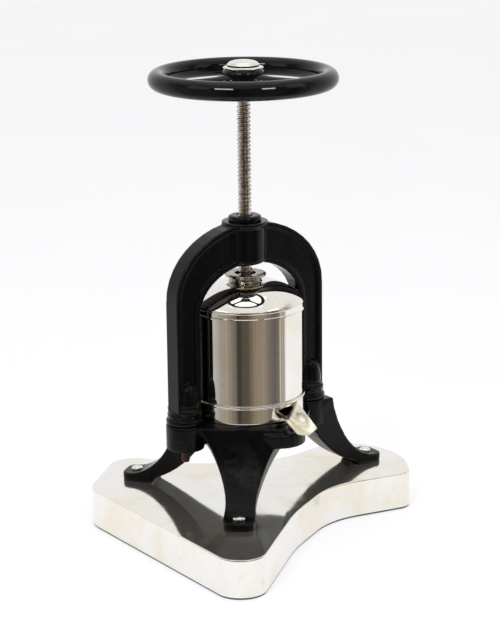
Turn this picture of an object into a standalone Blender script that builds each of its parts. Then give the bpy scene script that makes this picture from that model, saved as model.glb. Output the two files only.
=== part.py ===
"""French duck press: a screw press in a three-legged iron stand on a plated plinth.

The yoke stands over a plated vessel. Turning the handwheel drives the screw through the bronze nut
in the yoke's boss, and the presser plate on the screw's end squeezes what lies in the strainer.
The juice runs through the strainer into the pan and out of its spout.

Frame: metres, +Z up. The origin is on the screw's axis at the surface the plinth stands on.
+X runs along the yoke to the foot with a single leg, and the spout leaves towards -Y.
"""
import math

import bmesh
import bpy
from mathutils import Matrix, Vector

# Clearances
TOUCH = 0.0003          # gap kept between two pieces that touch
RUNNING = 0.0006        # radial gap of a piece that turns or slides in its bore
PAN_RELIEF = 0.0012     # gap round the pan's rim, where the yoke's feet are cut back for it
BOLT_CLEARANCE = 0.0004  # radial gap of a bolt in its hole

# Main sizes that the rest follow
BED_TOP = 0.137         # top of the stand's bed, which carries the yoke and the pan
BODY_RADIUS = 0.0640    # outside of the vessel's tube
BODY_TOP = 0.2625
PAN_RADIUS = BODY_RADIUS + 0.0016

# Plinth
PLINTH_TOP = 0.0445
PLINTH_PLATE = 0.0016
BAIZE_THICKNESS = 0.0022
PLINTH_BACK_X = -0.1510
PLINTH_NOSE_X = 0.2117
FRONT_CORNER = (0.0290, -0.1630)     # radius, and y of its centre
BACK_CORNER = (0.0450, 0.0830)
BACK_LOBE = (0.0320, -0.0680, 0.1360)   # radius, and x and y of its centre
FRONT_HOLLOW = (0.2600, 0.1417, -0.3180)
FRONT_WAIST = (0.1000, 0.0962, -0.1596)
BACK_HOLLOW = (0.1150, 0.0697, 0.1923)
NOSE_CORNER = (0.0185, 0.1730, 0.0520)
NOSE_BOW_RADIUS = 0.0850
NUT_POCKET_DEPTH = 0.012
NUT_POCKET_RADIUS = 0.0095

# Stand: a round bed with a nose under the spout, two lugs for the yoke and three legs
BED_BOTTOM = BED_TOP - 0.0220
BED_RADIUS = PAN_RADIUS + 0.0064
NOSE_REACH = BED_RADIUS + 0.0200
NOSE_HALF_WIDTH = 0.0300
NOSE_TOP = BED_TOP - 0.0060
LUG_RADIUS = 0.0215
LUG_BOTTOM = BED_TOP - 0.0290
LEG_TOP_WIDTH = 0.1000   # of a twin leg, where it spreads into the bed
LEG_WAIST_WIDTH = 0.0330
LEG_SPREAD = 0.75        # share of the leg's length over which it narrows
LEG_SPREAD_POWER = 1.6   # how quickly it narrows, 1 being a straight taper
LEG_REACH = 0.0620       # from where the leg leaves the bed to the foot's bolt
LEG_STEPS = 12
FOOT_WIDTH = 0.036
FOOT_THICKNESS = 0.0085
FOOT_TOE = 0.0145       # from the bolt's axis to the end of the toe
TWIN_FOOT_RADIUS = 0.1342   # screw axis to the bolts of the two feet at -X
SINGLE_FOOT_RADIUS = 0.1700  # screw axis to the bolt of the foot at +X
TWIN_FOOT_ANGLE = 128.7    # degrees from +X

# Foot bolts
SPOT_FACE_MARGIN = 0.0015   # from a bolt's head to the edge of the flat cut for it
FOOT_BOLT_RADIUS = 0.0035
FOOT_HEAD_RADIUS = 0.0068
FOOT_HEAD_HEIGHT = 0.0042
FOOT_NUT_RADIUS = 0.0066
FOOT_NUT_HEIGHT = 0.0052
FOOT_WASHER_RADIUS = 0.0080
FOOT_WASHER_THICKNESS = 0.0014

# Vessel
BODY_WALL = 0.0013
PAN_WALL = 0.0014
PAN_FLOOR = BED_TOP + 0.0060
PAN_LEDGE = BED_TOP + 0.0195        # the vessel's body stands on this
PAN_LEDGE_WIDTH = 0.0052
PAN_RIM_TOP = PAN_LEDGE + 0.0035
PAN_FOOT_RADIUS = PAN_RADIUS - 0.0044
BASKET_WALL = 0.0010
BASKET_TOP = BODY_TOP - 0.0135
BASKET_HOLE_RADIUS = 0.0016

# Spout: a wide trough, deep at the pan and shallow at the lip
SPOUT_AZIMUTH = -82.0
SPOUT_WALL = 0.0013
SPOUT_LIP_RADIUS = PAN_RADIUS + 0.0354   # screw axis to the lip
SPOUT_ROOT = (0.0175, PAN_RIM_TOP - 0.0020, 0.0145)   # half width, height of the rims, depth
SPOUT_LIP = (0.0150, PAN_RIM_TOP - 0.0255, 0.0040)
SPOUT_CURVE = 1.6           # power of the trough's cross-section, 1 being a V
SPOUT_STEPS = 8
OUTLET_HALF_WIDTH = 0.0110
OUTLET_ARCH = 0.0020        # how far the outlet's roof drops at its sides

# Lid
LID_RADIUS = BODY_RADIUS + 0.0017
LID_WALL = 0.0013
LID_SKIRT_BOTTOM = BODY_TOP - 0.0050
LID_CREASE = BODY_TOP + 0.0035
LID_CROWN = LID_CREASE + 0.0225
LID_NECK_RADIUS = 0.0190
LID_HOLE_RADIUS = 0.0120
LID_FLANGE_RADIUS = 0.0233
LID_FLANGE_TOP = LID_CROWN + 0.0093
LID_FLANGE_THICKNESS = 0.0038

# Presser
PLATE_RADIUS = BODY_RADIUS - 0.0037
PLATE_BOTTOM = BASKET_TOP + 0.0060
PLATE_THICKNESS = 0.0080
PLATE_HUB_RADIUS = 0.0150
THRUST_WASHER_THICKNESS = 0.0015

# Yoke
YOKE_INNER = PAN_RADIUS + 0.0034     # screw axis to a leg's inner face
YOKE_OUTER = YOKE_INNER + 0.0300
POST_X = (YOKE_INNER + YOKE_OUTER) / 2   # screw axis to the middle of a leg, where its stud is
YOKE_DEPTH = 0.0235
ARCH_INNER_Z = BODY_TOP - 0.0050     # where the inner curve starts
ARCH_INNER_RISE = 0.0530
ARCH_OUTER_Z = ARCH_INNER_Z + 0.0190   # where the outer curve starts, higher for its square shoulders
ARCH_OUTER_RISE = 0.0800
PANEL_RIM = 0.0062
PANEL_DEPTH = 0.0042
FOOT_DISC_RADIUS = 0.0212
FOOT_DISC_HEIGHT = 0.0140
BALUSTER_HEIGHT = 0.0330
BALUSTER_RADIUS = 0.0125
BOSS_RADIUS = 0.0230
BOSS_BOTTOM = ARCH_INNER_Z + ARCH_INNER_RISE - 0.0015
BOSS_TOP = ARCH_OUTER_Z + ARCH_OUTER_RISE + 0.0010
BOSS_FLANGE_RADIUS = 0.0260
BOSS_FLANGE_HEIGHT = 0.0030
STUD_RADIUS = 0.0048
STUD_STICK_OUT = 0.0165
STUD_IN_YOKE = 0.0300

# Nut in the boss
NUT_RADIUS = 0.0150
NUT_FLANGE_RADIUS = 0.0172
NUT_FLANGE_HEIGHT = 0.0016
COLLAR_RADIUS = 0.0187
COLLAR_HEIGHT = 0.0062
LOCK_SCREW_RADIUS = 0.0025

# Screw and wheel
SCREW_RADIUS = 0.0077
SCREW_SHOULDER = PLATE_BOTTOM + 0.0230
JOURNAL_RADIUS = SCREW_RADIUS - 0.0009
SPIGOT_WASHER_RADIUS = JOURNAL_RADIUS + 0.0017
SPIGOT_WASHER_THICKNESS = 0.0015
SPIGOT_SCREW_RADIUS = 0.0020
SPIGOT_HEAD_RADIUS = 0.0055
SPIGOT_HEAD_HEIGHT = 0.0028
WHEEL_Z = 0.516
WHEEL_RIM_RADIUS = 0.0945
WHEEL_TUBE_RADIUS = 0.0105
HUB_RADIUS = 0.0232
HUB_BOTTOM = WHEEL_Z - 0.0150
HUB_TOP = WHEEL_Z + 0.0110
SPOKE_COUNT = 3
SPOKE_AZIMUTH = 55.5
SPOKE_HALF_WIDTH = 0.0078
SPOKE_HALF_HEIGHT = 0.0050
KEY_WIDTH = 0.0040
KEY_LENGTH = 0.0180
KEY_PROUD = 0.0018
CAP_WASHER_RADIUS = 0.0225
CAP_WASHER_HEIGHT = 0.0024
CAP_NUT_RADIUS = 0.0180
CAP_NUT_BASE = 0.0025
CAP_NUT_DOME = 0.0055
CAP_STUD_RADIUS = 0.0050
CAP_STUD_LENGTH = 0.0050

SEGMENTS = 40


def clear_scene():
    for item in list(bpy.data.objects):
        bpy.data.objects.remove(item, do_unlink=True)


def material(name, colour, roughness, metallic):
    made = bpy.data.materials.new(name)
    made.use_nodes = True
    shader = made.node_tree.nodes["Principled BSDF"]
    shader.inputs["Base Color"].default_value = (*colour, 1.0)
    shader.inputs["Roughness"].default_value = roughness
    shader.inputs["Metallic"].default_value = metallic
    return made


def object_from(mesh_data, name):
    """Turn a bmesh into a named object, with its faces pointing out and round faces smooth."""
    bmesh.ops.remove_doubles(mesh_data, verts=mesh_data.verts, dist=1e-6)
    bmesh.ops.recalc_face_normals(mesh_data, faces=mesh_data.faces)
    mesh = bpy.data.meshes.new(name)
    mesh_data.to_mesh(mesh)
    mesh_data.free()
    mesh.shade_smooth()
    mesh.set_sharp_from_angle(angle=math.radians(35))
    made = bpy.data.objects.new(name, mesh)
    bpy.context.scene.collection.objects.link(made)
    return made


def finish(piece, colour):
    """Give a piece its own material."""
    piece.data.materials.clear()
    piece.data.materials.append(material(piece.name + "_finish", *colour))
    return piece


def turned(name, profile, segments=SEGMENTS, centre=(0.0, 0.0)):
    """Turn a closed (radius, height) profile about the vertical line through centre."""
    shape = bmesh.new()
    points = [shape.verts.new((radius, 0.0, height)) for radius, height in profile]
    edges = [shape.edges.new((a, b)) for a, b in zip(points, points[1:])]
    if profile[0][0] > 1e-9 or profile[-1][0] > 1e-9:
        edges.append(shape.edges.new((points[-1], points[0])))
    bmesh.ops.spin(shape, geom=points + edges, cent=(0, 0, 0), axis=(0, 0, 1), angle=math.tau,
                   steps=segments, use_merge=True)
    bmesh.ops.remove_doubles(shape, verts=shape.verts, dist=1e-6)
    bmesh.ops.translate(shape, verts=shape.verts, vec=(centre[0], centre[1], 0.0))
    return object_from(shape, name)


def extruded(name, outline, low, high, axis="Z"):
    """Extrude a closed outline from low to high along Z, or along Y for an (x, z) outline."""
    shape = bmesh.new()
    if axis == "Z":
        points = [shape.verts.new((a, b, low)) for a, b in outline]
        step = Vector((0, 0, high - low))
    else:
        points = [shape.verts.new((a, low, b)) for a, b in outline]
        step = Vector((0, high - low, 0))
    face = shape.faces.new(points)
    grown = bmesh.ops.extrude_face_region(shape, geom=[face])
    moved = [part for part in grown["geom"] if isinstance(part, bmesh.types.BMVert)]
    bmesh.ops.translate(shape, verts=moved, vec=step)
    return object_from(shape, name)


def lofted(name, rings):
    """Bridge rings of points, and close both ends."""
    shape = bmesh.new()
    loops = []
    for ring in rings:
        points = [shape.verts.new(point) for point in ring]
        loops.append([shape.edges.new((a, b)) for a, b in zip(points, points[1:] + points[:1])])
    for first, second in zip(loops, loops[1:]):
        bmesh.ops.bridge_loops(shape, edges=first + second)
    bmesh.ops.contextual_create(shape, geom=loops[0])
    bmesh.ops.contextual_create(shape, geom=loops[-1])
    return object_from(shape, name)


def combine(base, tools, operation):
    """Join tools to base, or cut them from it, and keep one plain mesh."""
    for tool in tools:
        step = base.modifiers.new(operation, "BOOLEAN")
        step.operation = operation
        step.solver = "EXACT"
        step.object = tool
    bpy.context.view_layer.update()
    graph = bpy.context.evaluated_depsgraph_get()
    mesh = bpy.data.meshes.new_from_object(base.evaluated_get(graph))
    base.modifiers.clear()
    base.data = mesh
    for tool in tools:
        bpy.data.objects.remove(tool, do_unlink=True)
    shape = bmesh.new()
    shape.from_mesh(mesh)
    bmesh.ops.remove_doubles(shape, verts=shape.verts, dist=2e-6)
    bmesh.ops.dissolve_degenerate(shape, edges=shape.edges, dist=2e-6)
    bmesh.ops.holes_fill(shape, edges=[edge for edge in shape.edges if edge.is_boundary], sides=0)
    shape.to_mesh(mesh)
    shape.free()
    mesh.shade_smooth()
    mesh.set_sharp_from_angle(angle=math.radians(35))
    return base


def arc(centre, radius, start, end, count):
    """Points on an arc, in degrees, both ends included."""
    turns = [math.radians(start + (end - start) * i / (count - 1)) for i in range(count)]
    return [(centre[0] + radius * math.cos(t), centre[1] + radius * math.sin(t)) for t in turns]


def polar(radius, degrees):
    return radius * math.cos(math.radians(degrees)), radius * math.sin(math.radians(degrees))


def cylinder(name, radius, low, high, centre=(0.0, 0.0), segments=24):
    return turned(name, [(0, low), (radius, low), (radius, high), (0, high)], segments, centre)


def ring(name, inner, outer, low, high, centre=(0.0, 0.0), segments=24):
    profile = [(inner, low), (outer, low), (outer, high), (inner, high)]
    return turned(name, profile, segments, centre)


def hexagon(name, radius, low, high, centre):
    return turned(name, [(0, low), (radius, low), (radius, high), (0, high)], 6, centre)


def inset_outline(outline, distance):
    """Move a closed outline inwards by an even distance."""
    count = len(outline)
    area = sum(outline[i][0] * outline[(i + 1) % count][1] - outline[(i + 1) % count][0] * outline[i][1]
               for i in range(count))
    sign = 1.0 if area > 0 else -1.0
    moved = []
    for i in range(count):
        before = Vector(outline[i]) - Vector(outline[i - 1])
        after = Vector(outline[(i + 1) % count]) - Vector(outline[i])
        normal_before = Vector((-before.y, before.x)).normalized() * sign
        normal_after = Vector((-after.y, after.x)).normalized() * sign
        middle = (normal_before + normal_after).normalized()
        reach = distance / max(middle.dot(normal_after), 0.5)
        moved.append(tuple(Vector(outline[i]) + middle * reach))
    return moved


def foot_places():
    """The three bolt places: the single foot at +X, then the front and back feet at -X."""
    front = (TWIN_FOOT_RADIUS, -TWIN_FOOT_ANGLE)
    back = (TWIN_FOOT_RADIUS, TWIN_FOOT_ANGLE)
    return {"right": (SINGLE_FOOT_RADIUS, 0.0), "front": front, "back": back}


def tangent_outline(circles, step=9.0):
    """Closed outline round circles of (radius, x, y, turn), joined by straight tangents.

    A turn of +1 goes round a circle anticlockwise, which swells the outline, and -1 hollows it.
    """
    angles = []
    for first, second in zip(circles, circles[1:] + circles[:1]):
        across = Vector((second[1] - first[1], second[2] - first[2]))
        heading = math.atan2(across.y, across.x)
        swing = math.asin((first[0] * first[3] - second[0] * second[3]) / across.length)
        travel = heading + swing
        angles.append((travel - first[3] * math.pi / 2, travel - second[3] * math.pi / 2))
    outline = []
    for i, (radius, x, y, turn) in enumerate(circles):
        start = angles[i - 1][1]
        sweep = (angles[i][0] - start) * turn % math.tau
        count = max(2, round(math.degrees(sweep) / step) + 1)
        for k in range(count):
            angle = start + turn * sweep * k / (count - 1)
            outline.append((x + radius * math.cos(angle), y + radius * math.sin(angle)))
    return outline


def plinth_outline():
    """Straight at -X, hollow at both sides, longer in front, with a narrower bowed end at +X."""
    front_waist = FRONT_WAIST + (-1,)
    back_waist = (FRONT_WAIST[0], FRONT_WAIST[1], -FRONT_WAIST[2], -1)   # the front's, mirrored
    return tangent_outline([
        (FRONT_CORNER[0], PLINTH_BACK_X + FRONT_CORNER[0], FRONT_CORNER[1], 1),
        FRONT_HOLLOW + (-1,),
        front_waist,
        (NOSE_CORNER[0], NOSE_CORNER[1], -NOSE_CORNER[2], 1),
        (NOSE_BOW_RADIUS, PLINTH_NOSE_X - NOSE_BOW_RADIUS, 0.0, 1),
        NOSE_CORNER + (1,),
        back_waist,
        BACK_HOLLOW + (-1,),
        BACK_LOBE + (1,),
        (BACK_CORNER[0], PLINTH_BACK_X + BACK_CORNER[0], BACK_CORNER[1], 1),
    ])


def build_plinth():
    outline = plinth_outline()
    inner = inset_outline(outline, PLINTH_PLATE)
    shell = extruded("plinth_shell", outline, BAIZE_THICKNESS + TOUCH, PLINTH_TOP)
    hollow = extruded("hollow", inner, 0.0, PLINTH_TOP - PLINTH_PLATE)
    drills = []
    for place, (radius, angle) in foot_places().items():
        hole = FOOT_BOLT_RADIUS + BOLT_CLEARANCE
        drills.append(cylinder("drill_" + place, hole, 0.0, PLINTH_TOP + 0.01, polar(radius, angle), 16))
    finish(combine(shell, [hollow] + drills, "DIFFERENCE"), ((0.78, 0.74, 0.66), 0.12, 1.0))

    core = extruded("plinth_core", inset_outline(inner, TOUCH), BAIZE_THICKNESS + TOUCH,
                    PLINTH_TOP - PLINTH_PLATE - TOUCH)
    cuts = []
    for place, (radius, angle) in foot_places().items():
        spot = polar(radius, angle)
        hole = FOOT_BOLT_RADIUS + BOLT_CLEARANCE
        cuts.append(cylinder("hole_" + place, hole, 0.0, PLINTH_TOP, spot, 16))
        pocket = BAIZE_THICKNESS + NUT_POCKET_DEPTH
        cuts.append(cylinder("pocket_" + place, NUT_POCKET_RADIUS, 0.0, pocket, spot, 20))
    finish(combine(core, cuts, "DIFFERENCE"), ((0.45, 0.30, 0.16), 0.75, 0.0))

    baize = extruded("baize_pad", inset_outline(outline, 0.0008), 0.0, BAIZE_THICKNESS)
    finish(baize, ((0.01, 0.10, 0.07), 0.95, 0.0))


def bezier(start, lead, follow, end, t):
    """A point on a cubic curve."""
    u = 1 - t
    return tuple(a * u ** 3 + b * 3 * t * u * u + c * 3 * t * t * u + d * t ** 3
                 for a, b, c, d in zip(start, lead, follow, end))


def leg_stations(foot_radius, root_width):
    """Upper and lower points and width of the leg, from inside the bed to the foot's pad."""
    low = PLINTH_TOP + TOUCH
    pad = low + FOOT_THICKNESS
    root = foot_radius - LEG_REACH
    top = (root, BED_TOP - 0.0008)
    under = (root - 0.034, BED_BOTTOM + 0.001)
    stations = [((root - 0.020, top[1]), (under[0] - 0.006, under[1] + 0.002), root_width)]
    for i in range(LEG_STEPS + 1):
        t = i / LEG_STEPS
        over = bezier(top, (root + 0.004, 0.112), (foot_radius - 0.035, pad + 0.002),
                      (foot_radius + 0.004, pad - 0.0004), t)
        below = bezier(under, (under[0] + 0.010, 0.092), (foot_radius - 0.050, low + 0.002),
                       (foot_radius - 0.004, low + 0.0004), t)
        spread = max(0.0, 1 - t / LEG_SPREAD) ** LEG_SPREAD_POWER
        width = LEG_WAIST_WIDTH + (root_width - LEG_WAIST_WIDTH) * spread
        width += (FOOT_WIDTH - 0.0006 - LEG_WAIST_WIDTH) * max(0.0, (t - 0.6) / 0.4) ** 2
        stations.append((over, below, width))
    return stations


def build_leg(place, foot_radius, angle):
    turn = Matrix.Rotation(math.radians(angle), 4, "Z")
    rings = []
    root_width = 2 * LUG_RADIUS - 0.002 if place == "right" else LEG_TOP_WIDTH
    for (over_x, over_z), (under_x, under_z), width in leg_stations(foot_radius, root_width):
        half = width / 2
        ring_points = [(over_x, -half, over_z), (over_x, half, over_z),
                       (under_x, half, under_z), (under_x, -half, under_z)]
        rings.append([turn @ Vector(point) for point in ring_points])
    leg = lofted("leg_" + place, rings)
    low = PLINTH_TOP + TOUCH
    corner = 0.011
    half = FOOT_WIDTH / 2
    toe = foot_radius + FOOT_TOE
    start = foot_radius - FOOT_TOE - 0.008
    outline = [(start, -half)] + arc((toe - corner, -half + corner), corner, -90, 0, 5)
    outline += arc((toe - corner, half - corner), corner, 0, 90, 5) + [(start, half)]
    outline = [tuple((turn @ Vector((x, y, 0))).xy) for x, y in outline]
    pad = extruded("pad_" + place, outline, low, low + FOOT_THICKNESS)
    return leg, pad


def trough_surface(share):
    """The trough's upper surface at a share of its length, as (across, height) points."""
    half = SPOUT_ROOT[0] + (SPOUT_LIP[0] - SPOUT_ROOT[0]) * share
    rim = SPOUT_ROOT[1] + (SPOUT_LIP[1] - SPOUT_ROOT[1]) * share
    depth = SPOUT_ROOT[2] + (SPOUT_LIP[2] - SPOUT_ROOT[2]) * share
    points = []
    for i in range(11):
        across = -1 + 2 * i / 10
        points.append((half * across, rim - depth * (1 - abs(across) ** SPOUT_CURVE)))
    return points


def trough_reach(across, share):
    """Distance from the screw's axis along the spout, bowed like the pan's wall."""
    wall = math.sqrt((PAN_RADIUS - PAN_WALL / 2) ** 2 - across ** 2)
    return wall + (SPOUT_LIP_RADIUS - PAN_RADIUS) * share


def trough(name, above, below, start, end, narrow=1.0):
    """Sweep the space from below to above the trough's surface, between two shares of its length."""
    turn = Matrix.Rotation(math.radians(SPOUT_AZIMUTH), 4, "Z")
    rings = []
    for i in range(SPOUT_STEPS + 1):
        share = start + (end - start) * i / SPOUT_STEPS
        surface = trough_surface(share)
        upper = [(across * narrow, height + above) for across, height in surface]
        lower = [(across * narrow, height - below) for across, height in reversed(surface)]
        rings.append([turn @ Vector((trough_reach(across, share), across, height))
                      for across, height in upper + lower])
    return lofted(name, rings)


def build_stand():
    body = cylinder("stand", BED_RADIUS, BED_BOTTOM, BED_TOP, segments=48)
    pieces = []
    nose = [(-NOSE_HALF_WIDTH - 0.020, -0.045)]
    nose += arc((0.0, -NOSE_REACH + NOSE_HALF_WIDTH), NOSE_HALF_WIDTH, 180, 360, 15)
    nose += [(NOSE_HALF_WIDTH + 0.020, -0.045)]
    pieces.append(extruded("nose", nose, BED_BOTTOM + 0.0005, NOSE_TOP))
    for side, sign in (("left", -1), ("right", 1)):
        spot = (sign * POST_X, 0.0)
        pieces.append(cylinder("lug_" + side, LUG_RADIUS, LUG_BOTTOM, BED_TOP - 0.0004, spot, 28))
    for place, (radius, angle) in foot_places().items():
        pieces.extend(build_leg(place, radius, angle))
    combine(body, pieces, "UNION")
    cuts = []
    for side, sign in (("left", -1), ("right", 1)):
        hole = STUD_RADIUS + BOLT_CLEARANCE
        cuts.append(cylinder("stud_hole_" + side, hole, LUG_BOTTOM - STUD_STICK_OUT - 0.002, BED_TOP + 0.01,
                             (sign * POST_X, 0.0), 16))
    for place, (radius, angle) in foot_places().items():
        hole = FOOT_BOLT_RADIUS + BOLT_CLEARANCE
        spot = polar(radius, angle)
        cuts.append(cylinder("bolt_hole_" + place, hole, PLINTH_TOP - 0.01, PLINTH_TOP + 0.03, spot, 16))
        face = PLINTH_TOP + TOUCH + FOOT_THICKNESS
        cuts.append(cylinder("spot_face_" + place, FOOT_HEAD_RADIUS + SPOT_FACE_MARGIN, face, face + 0.03,
                             spot, 24))
    cuts.append(trough("cradle", 0.030, SPOUT_WALL + 0.0020, -0.2, 1.4, 1.15))
    finish(combine(body, cuts, "DIFFERENCE"), ((0.012, 0.012, 0.013), 0.38, 0.0))


def arch_outline(rim, bottom, count=22):
    """The yoke's front view, drawn in by a rim: legs from bottom up, an outer and a flatter inner curve."""
    outer, inner = YOKE_OUTER - rim, YOKE_INNER + rim
    high, low = ARCH_OUTER_RISE - rim, ARCH_INNER_RISE + rim
    turns = [math.pi * i / (count - 1) for i in range(count)]
    over = [(outer * math.cos(t), ARCH_OUTER_Z + high * math.sin(t)) for t in turns]
    under = [(inner * math.cos(t), ARCH_INNER_Z + low * math.sin(t)) for t in reversed(turns)]
    return [(outer, bottom)] + over + [(-outer, bottom), (-inner, bottom)] + under + [(inner, bottom)]


def build_yoke():
    bottom = BED_TOP + TOUCH
    half = YOKE_DEPTH / 2
    yoke = extruded("yoke", arch_outline(0.0, bottom + 0.004), -half, half, "Y")
    panel_bottom = bottom + FOOT_DISC_HEIGHT + 0.012
    panel = arch_outline(PANEL_RIM, panel_bottom)
    front = extruded("panel_front", panel, -half - 0.01, -half + PANEL_DEPTH, "Y")
    back = extruded("panel_back", panel, half - PANEL_DEPTH, half + 0.01, "Y")
    combine(yoke, [front, back], "DIFFERENCE")

    joined = []
    flange_low = BOSS_TOP - BOSS_FLANGE_HEIGHT
    boss = [(0, BOSS_BOTTOM), (BOSS_RADIUS - 0.006, BOSS_BOTTOM), (BOSS_RADIUS - 0.002, BOSS_BOTTOM + 0.0015),
            (BOSS_RADIUS, BOSS_BOTTOM + 0.005), (BOSS_RADIUS, flange_low - 0.004),
            (BOSS_FLANGE_RADIUS, flange_low), (BOSS_FLANGE_RADIUS, BOSS_TOP), (0, BOSS_TOP)]
    joined.append(turned("boss", boss, 40))
    disc_top = bottom + FOOT_DISC_HEIGHT
    for side, sign in (("left", -1), ("right", 1)):
        spot = (sign * POST_X, 0.0)
        disc = [(0, bottom), (FOOT_DISC_RADIUS - 0.001, bottom), (FOOT_DISC_RADIUS, bottom + 0.001),
                (FOOT_DISC_RADIUS, bottom + 0.0055), (FOOT_DISC_RADIUS - 0.003, bottom + 0.0075),
                (FOOT_DISC_RADIUS - 0.001, bottom + 0.0105), (FOOT_DISC_RADIUS - 0.004, disc_top),
                (0, disc_top)]
        joined.append(turned("disc_" + side, disc, 28, spot))
        dome_low = disc_top + 0.008
        dome_high = disc_top + BALUSTER_HEIGHT
        baluster = [(0, disc_top - 0.001), (BALUSTER_RADIUS + 0.0025, disc_top - 0.001),
                    (BALUSTER_RADIUS + 0.003, disc_top + 0.003), (BALUSTER_RADIUS - 0.002, dome_low - 0.001)]
        for i in range(7):
            t = math.radians(90 * i / 6)
            baluster.append((BALUSTER_RADIUS * math.cos(t) ** 0.8 if i < 6 else 0.0,
                             dome_low + (dome_high - dome_low) * math.sin(t)))
        for face, shift in (("front", -1), ("back", 1)):
            place = (spot[0], shift * (half - 0.004))
            joined.append(turned("baluster_" + face + "_" + side, baluster, 20, place))
    combine(yoke, joined, "UNION")

    cuts = [cylinder("nut_bore", NUT_RADIUS + TOUCH, BOSS_BOTTOM - 0.01, BOSS_TOP + 0.01, segments=32)]
    cuts.append(cylinder("pan_relief", PAN_RADIUS + PAN_RELIEF, bottom - 0.01, PAN_RIM_TOP + 0.004,
                         segments=64))
    for side, sign in (("left", -1), ("right", 1)):
        cuts.append(cylinder("stud_bore_" + side, STUD_RADIUS + TOUCH, bottom - 0.01,
                             bottom + STUD_IN_YOKE + TOUCH, (sign * POST_X, 0.0), 16))
    lock = cylinder("lock_bore", LOCK_SCREW_RADIUS + TOUCH, 0.0, BOSS_RADIUS + 0.01, segments=12)
    lock.data.transform(Matrix.Translation((0, 0, lock_height())) @ Matrix.Rotation(-math.pi / 2, 4, "X"))
    cuts.append(lock)
    finish(combine(yoke, cuts, "DIFFERENCE"), ((0.010, 0.010, 0.011), 0.22, 0.0))


def lock_height():
    """Height of the lock screw in the back of the boss."""
    return (BOSS_BOTTOM + BOSS_TOP) / 2 - 0.004


def build_studs():
    low = LUG_BOTTOM - STUD_STICK_OUT
    high = BED_TOP + TOUCH + STUD_IN_YOKE - TOUCH
    chamfer = 0.0008
    profile = [(0, low), (STUD_RADIUS - chamfer, low), (STUD_RADIUS, low + chamfer),
               (STUD_RADIUS, high - chamfer), (STUD_RADIUS - chamfer, high), (0, high)]
    for side, sign in (("left", -1), ("right", 1)):
        stud = turned("post_stud_" + side, profile, 16, (sign * POST_X, 0.0))
        finish(stud, ((0.24, 0.13, 0.07), 0.6, 0.8))


def build_foot_fasteners():
    foot_top = PLINTH_TOP + TOUCH + FOOT_THICKNESS
    pocket = BAIZE_THICKNESS + NUT_POCKET_DEPTH
    for place, (radius, angle) in foot_places().items():
        spot = polar(radius, angle)
        washer_low = pocket - TOUCH - FOOT_WASHER_THICKNESS
        nut_low = washer_low - TOUCH - FOOT_NUT_HEIGHT
        shank_low = nut_low - 0.0020
        head = foot_top + TOUCH
        profile = [(0, shank_low), (FOOT_BOLT_RADIUS, shank_low), (FOOT_BOLT_RADIUS, head),
                   (FOOT_HEAD_RADIUS, head), (FOOT_HEAD_RADIUS, head + 0.0008)]
        for i in range(1, 6):
            t = math.radians(90 * i / 5)
            rise = head + 0.0008 + (FOOT_HEAD_HEIGHT - 0.0008) * math.sin(t)
            profile.append((FOOT_HEAD_RADIUS * math.cos(t) if i < 5 else 0.0, rise))
        bolt = turned("foot_bolt_" + place, profile, 18, spot)
        finish(bolt, ((0.72, 0.71, 0.69), 0.18, 1.0))
        washer = ring("foot_washer_" + place, FOOT_BOLT_RADIUS + TOUCH, FOOT_WASHER_RADIUS, washer_low,
                      washer_low + FOOT_WASHER_THICKNESS, spot, 18)
        finish(washer, ((0.55, 0.54, 0.52), 0.4, 1.0))
        nut = hexagon("foot_nut_" + place, FOOT_NUT_RADIUS, nut_low, nut_low + FOOT_NUT_HEIGHT, spot)
        bore = cylinder("bore", FOOT_BOLT_RADIUS + TOUCH, nut_low - 0.01, nut_low + 0.02, spot, 12)
        finish(combine(nut, [bore], "DIFFERENCE"), ((0.55, 0.54, 0.52), 0.4, 1.0))


def build_nut():
    bore = SCREW_RADIUS + RUNNING
    low = BOSS_BOTTOM + 0.0010
    flange = BOSS_TOP + TOUCH
    profile = [(bore, low), (NUT_RADIUS, low), (NUT_RADIUS, flange), (NUT_FLANGE_RADIUS, flange),
               (NUT_FLANGE_RADIUS, flange + NUT_FLANGE_HEIGHT), (bore, flange + NUT_FLANGE_HEIGHT)]
    nut = turned("screw_nut", profile, 32)
    lock = cylinder("lock_seat", LOCK_SCREW_RADIUS + TOUCH, 0.0, BOSS_RADIUS, segments=12)
    shift = Matrix.Translation((0, NUT_RADIUS - 0.0015, lock_height()))
    lock.data.transform(shift @ Matrix.Rotation(-math.pi / 2, 4, "X"))
    finish(combine(nut, [lock], "DIFFERENCE"), ((0.50, 0.36, 0.16), 0.35, 1.0))

    high = flange + COLLAR_HEIGHT
    recess = NUT_FLANGE_RADIUS + TOUCH
    recess_top = flange + NUT_FLANGE_HEIGHT + TOUCH
    profile = [(bore, recess_top), (recess, recess_top), (recess, flange), (COLLAR_RADIUS, flange),
               (COLLAR_RADIUS, high - 0.0026),
               (COLLAR_RADIUS - 0.0009, high - 0.0009), (COLLAR_RADIUS - 0.0028, high), (bore, high)]
    finish(turned("boss_collar", profile, 36), ((0.010, 0.010, 0.011), 0.2, 0.0))

    start = NUT_RADIUS - 0.0015 + TOUCH
    screw = cylinder("nut_lock_screw", LOCK_SCREW_RADIUS, start, BOSS_RADIUS - 0.0012, segments=12)
    screw.data.transform(Matrix.Translation((0, 0, lock_height())) @ Matrix.Rotation(-math.pi / 2, 4, "X"))
    finish(screw, ((0.30, 0.29, 0.28), 0.4, 1.0))


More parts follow.
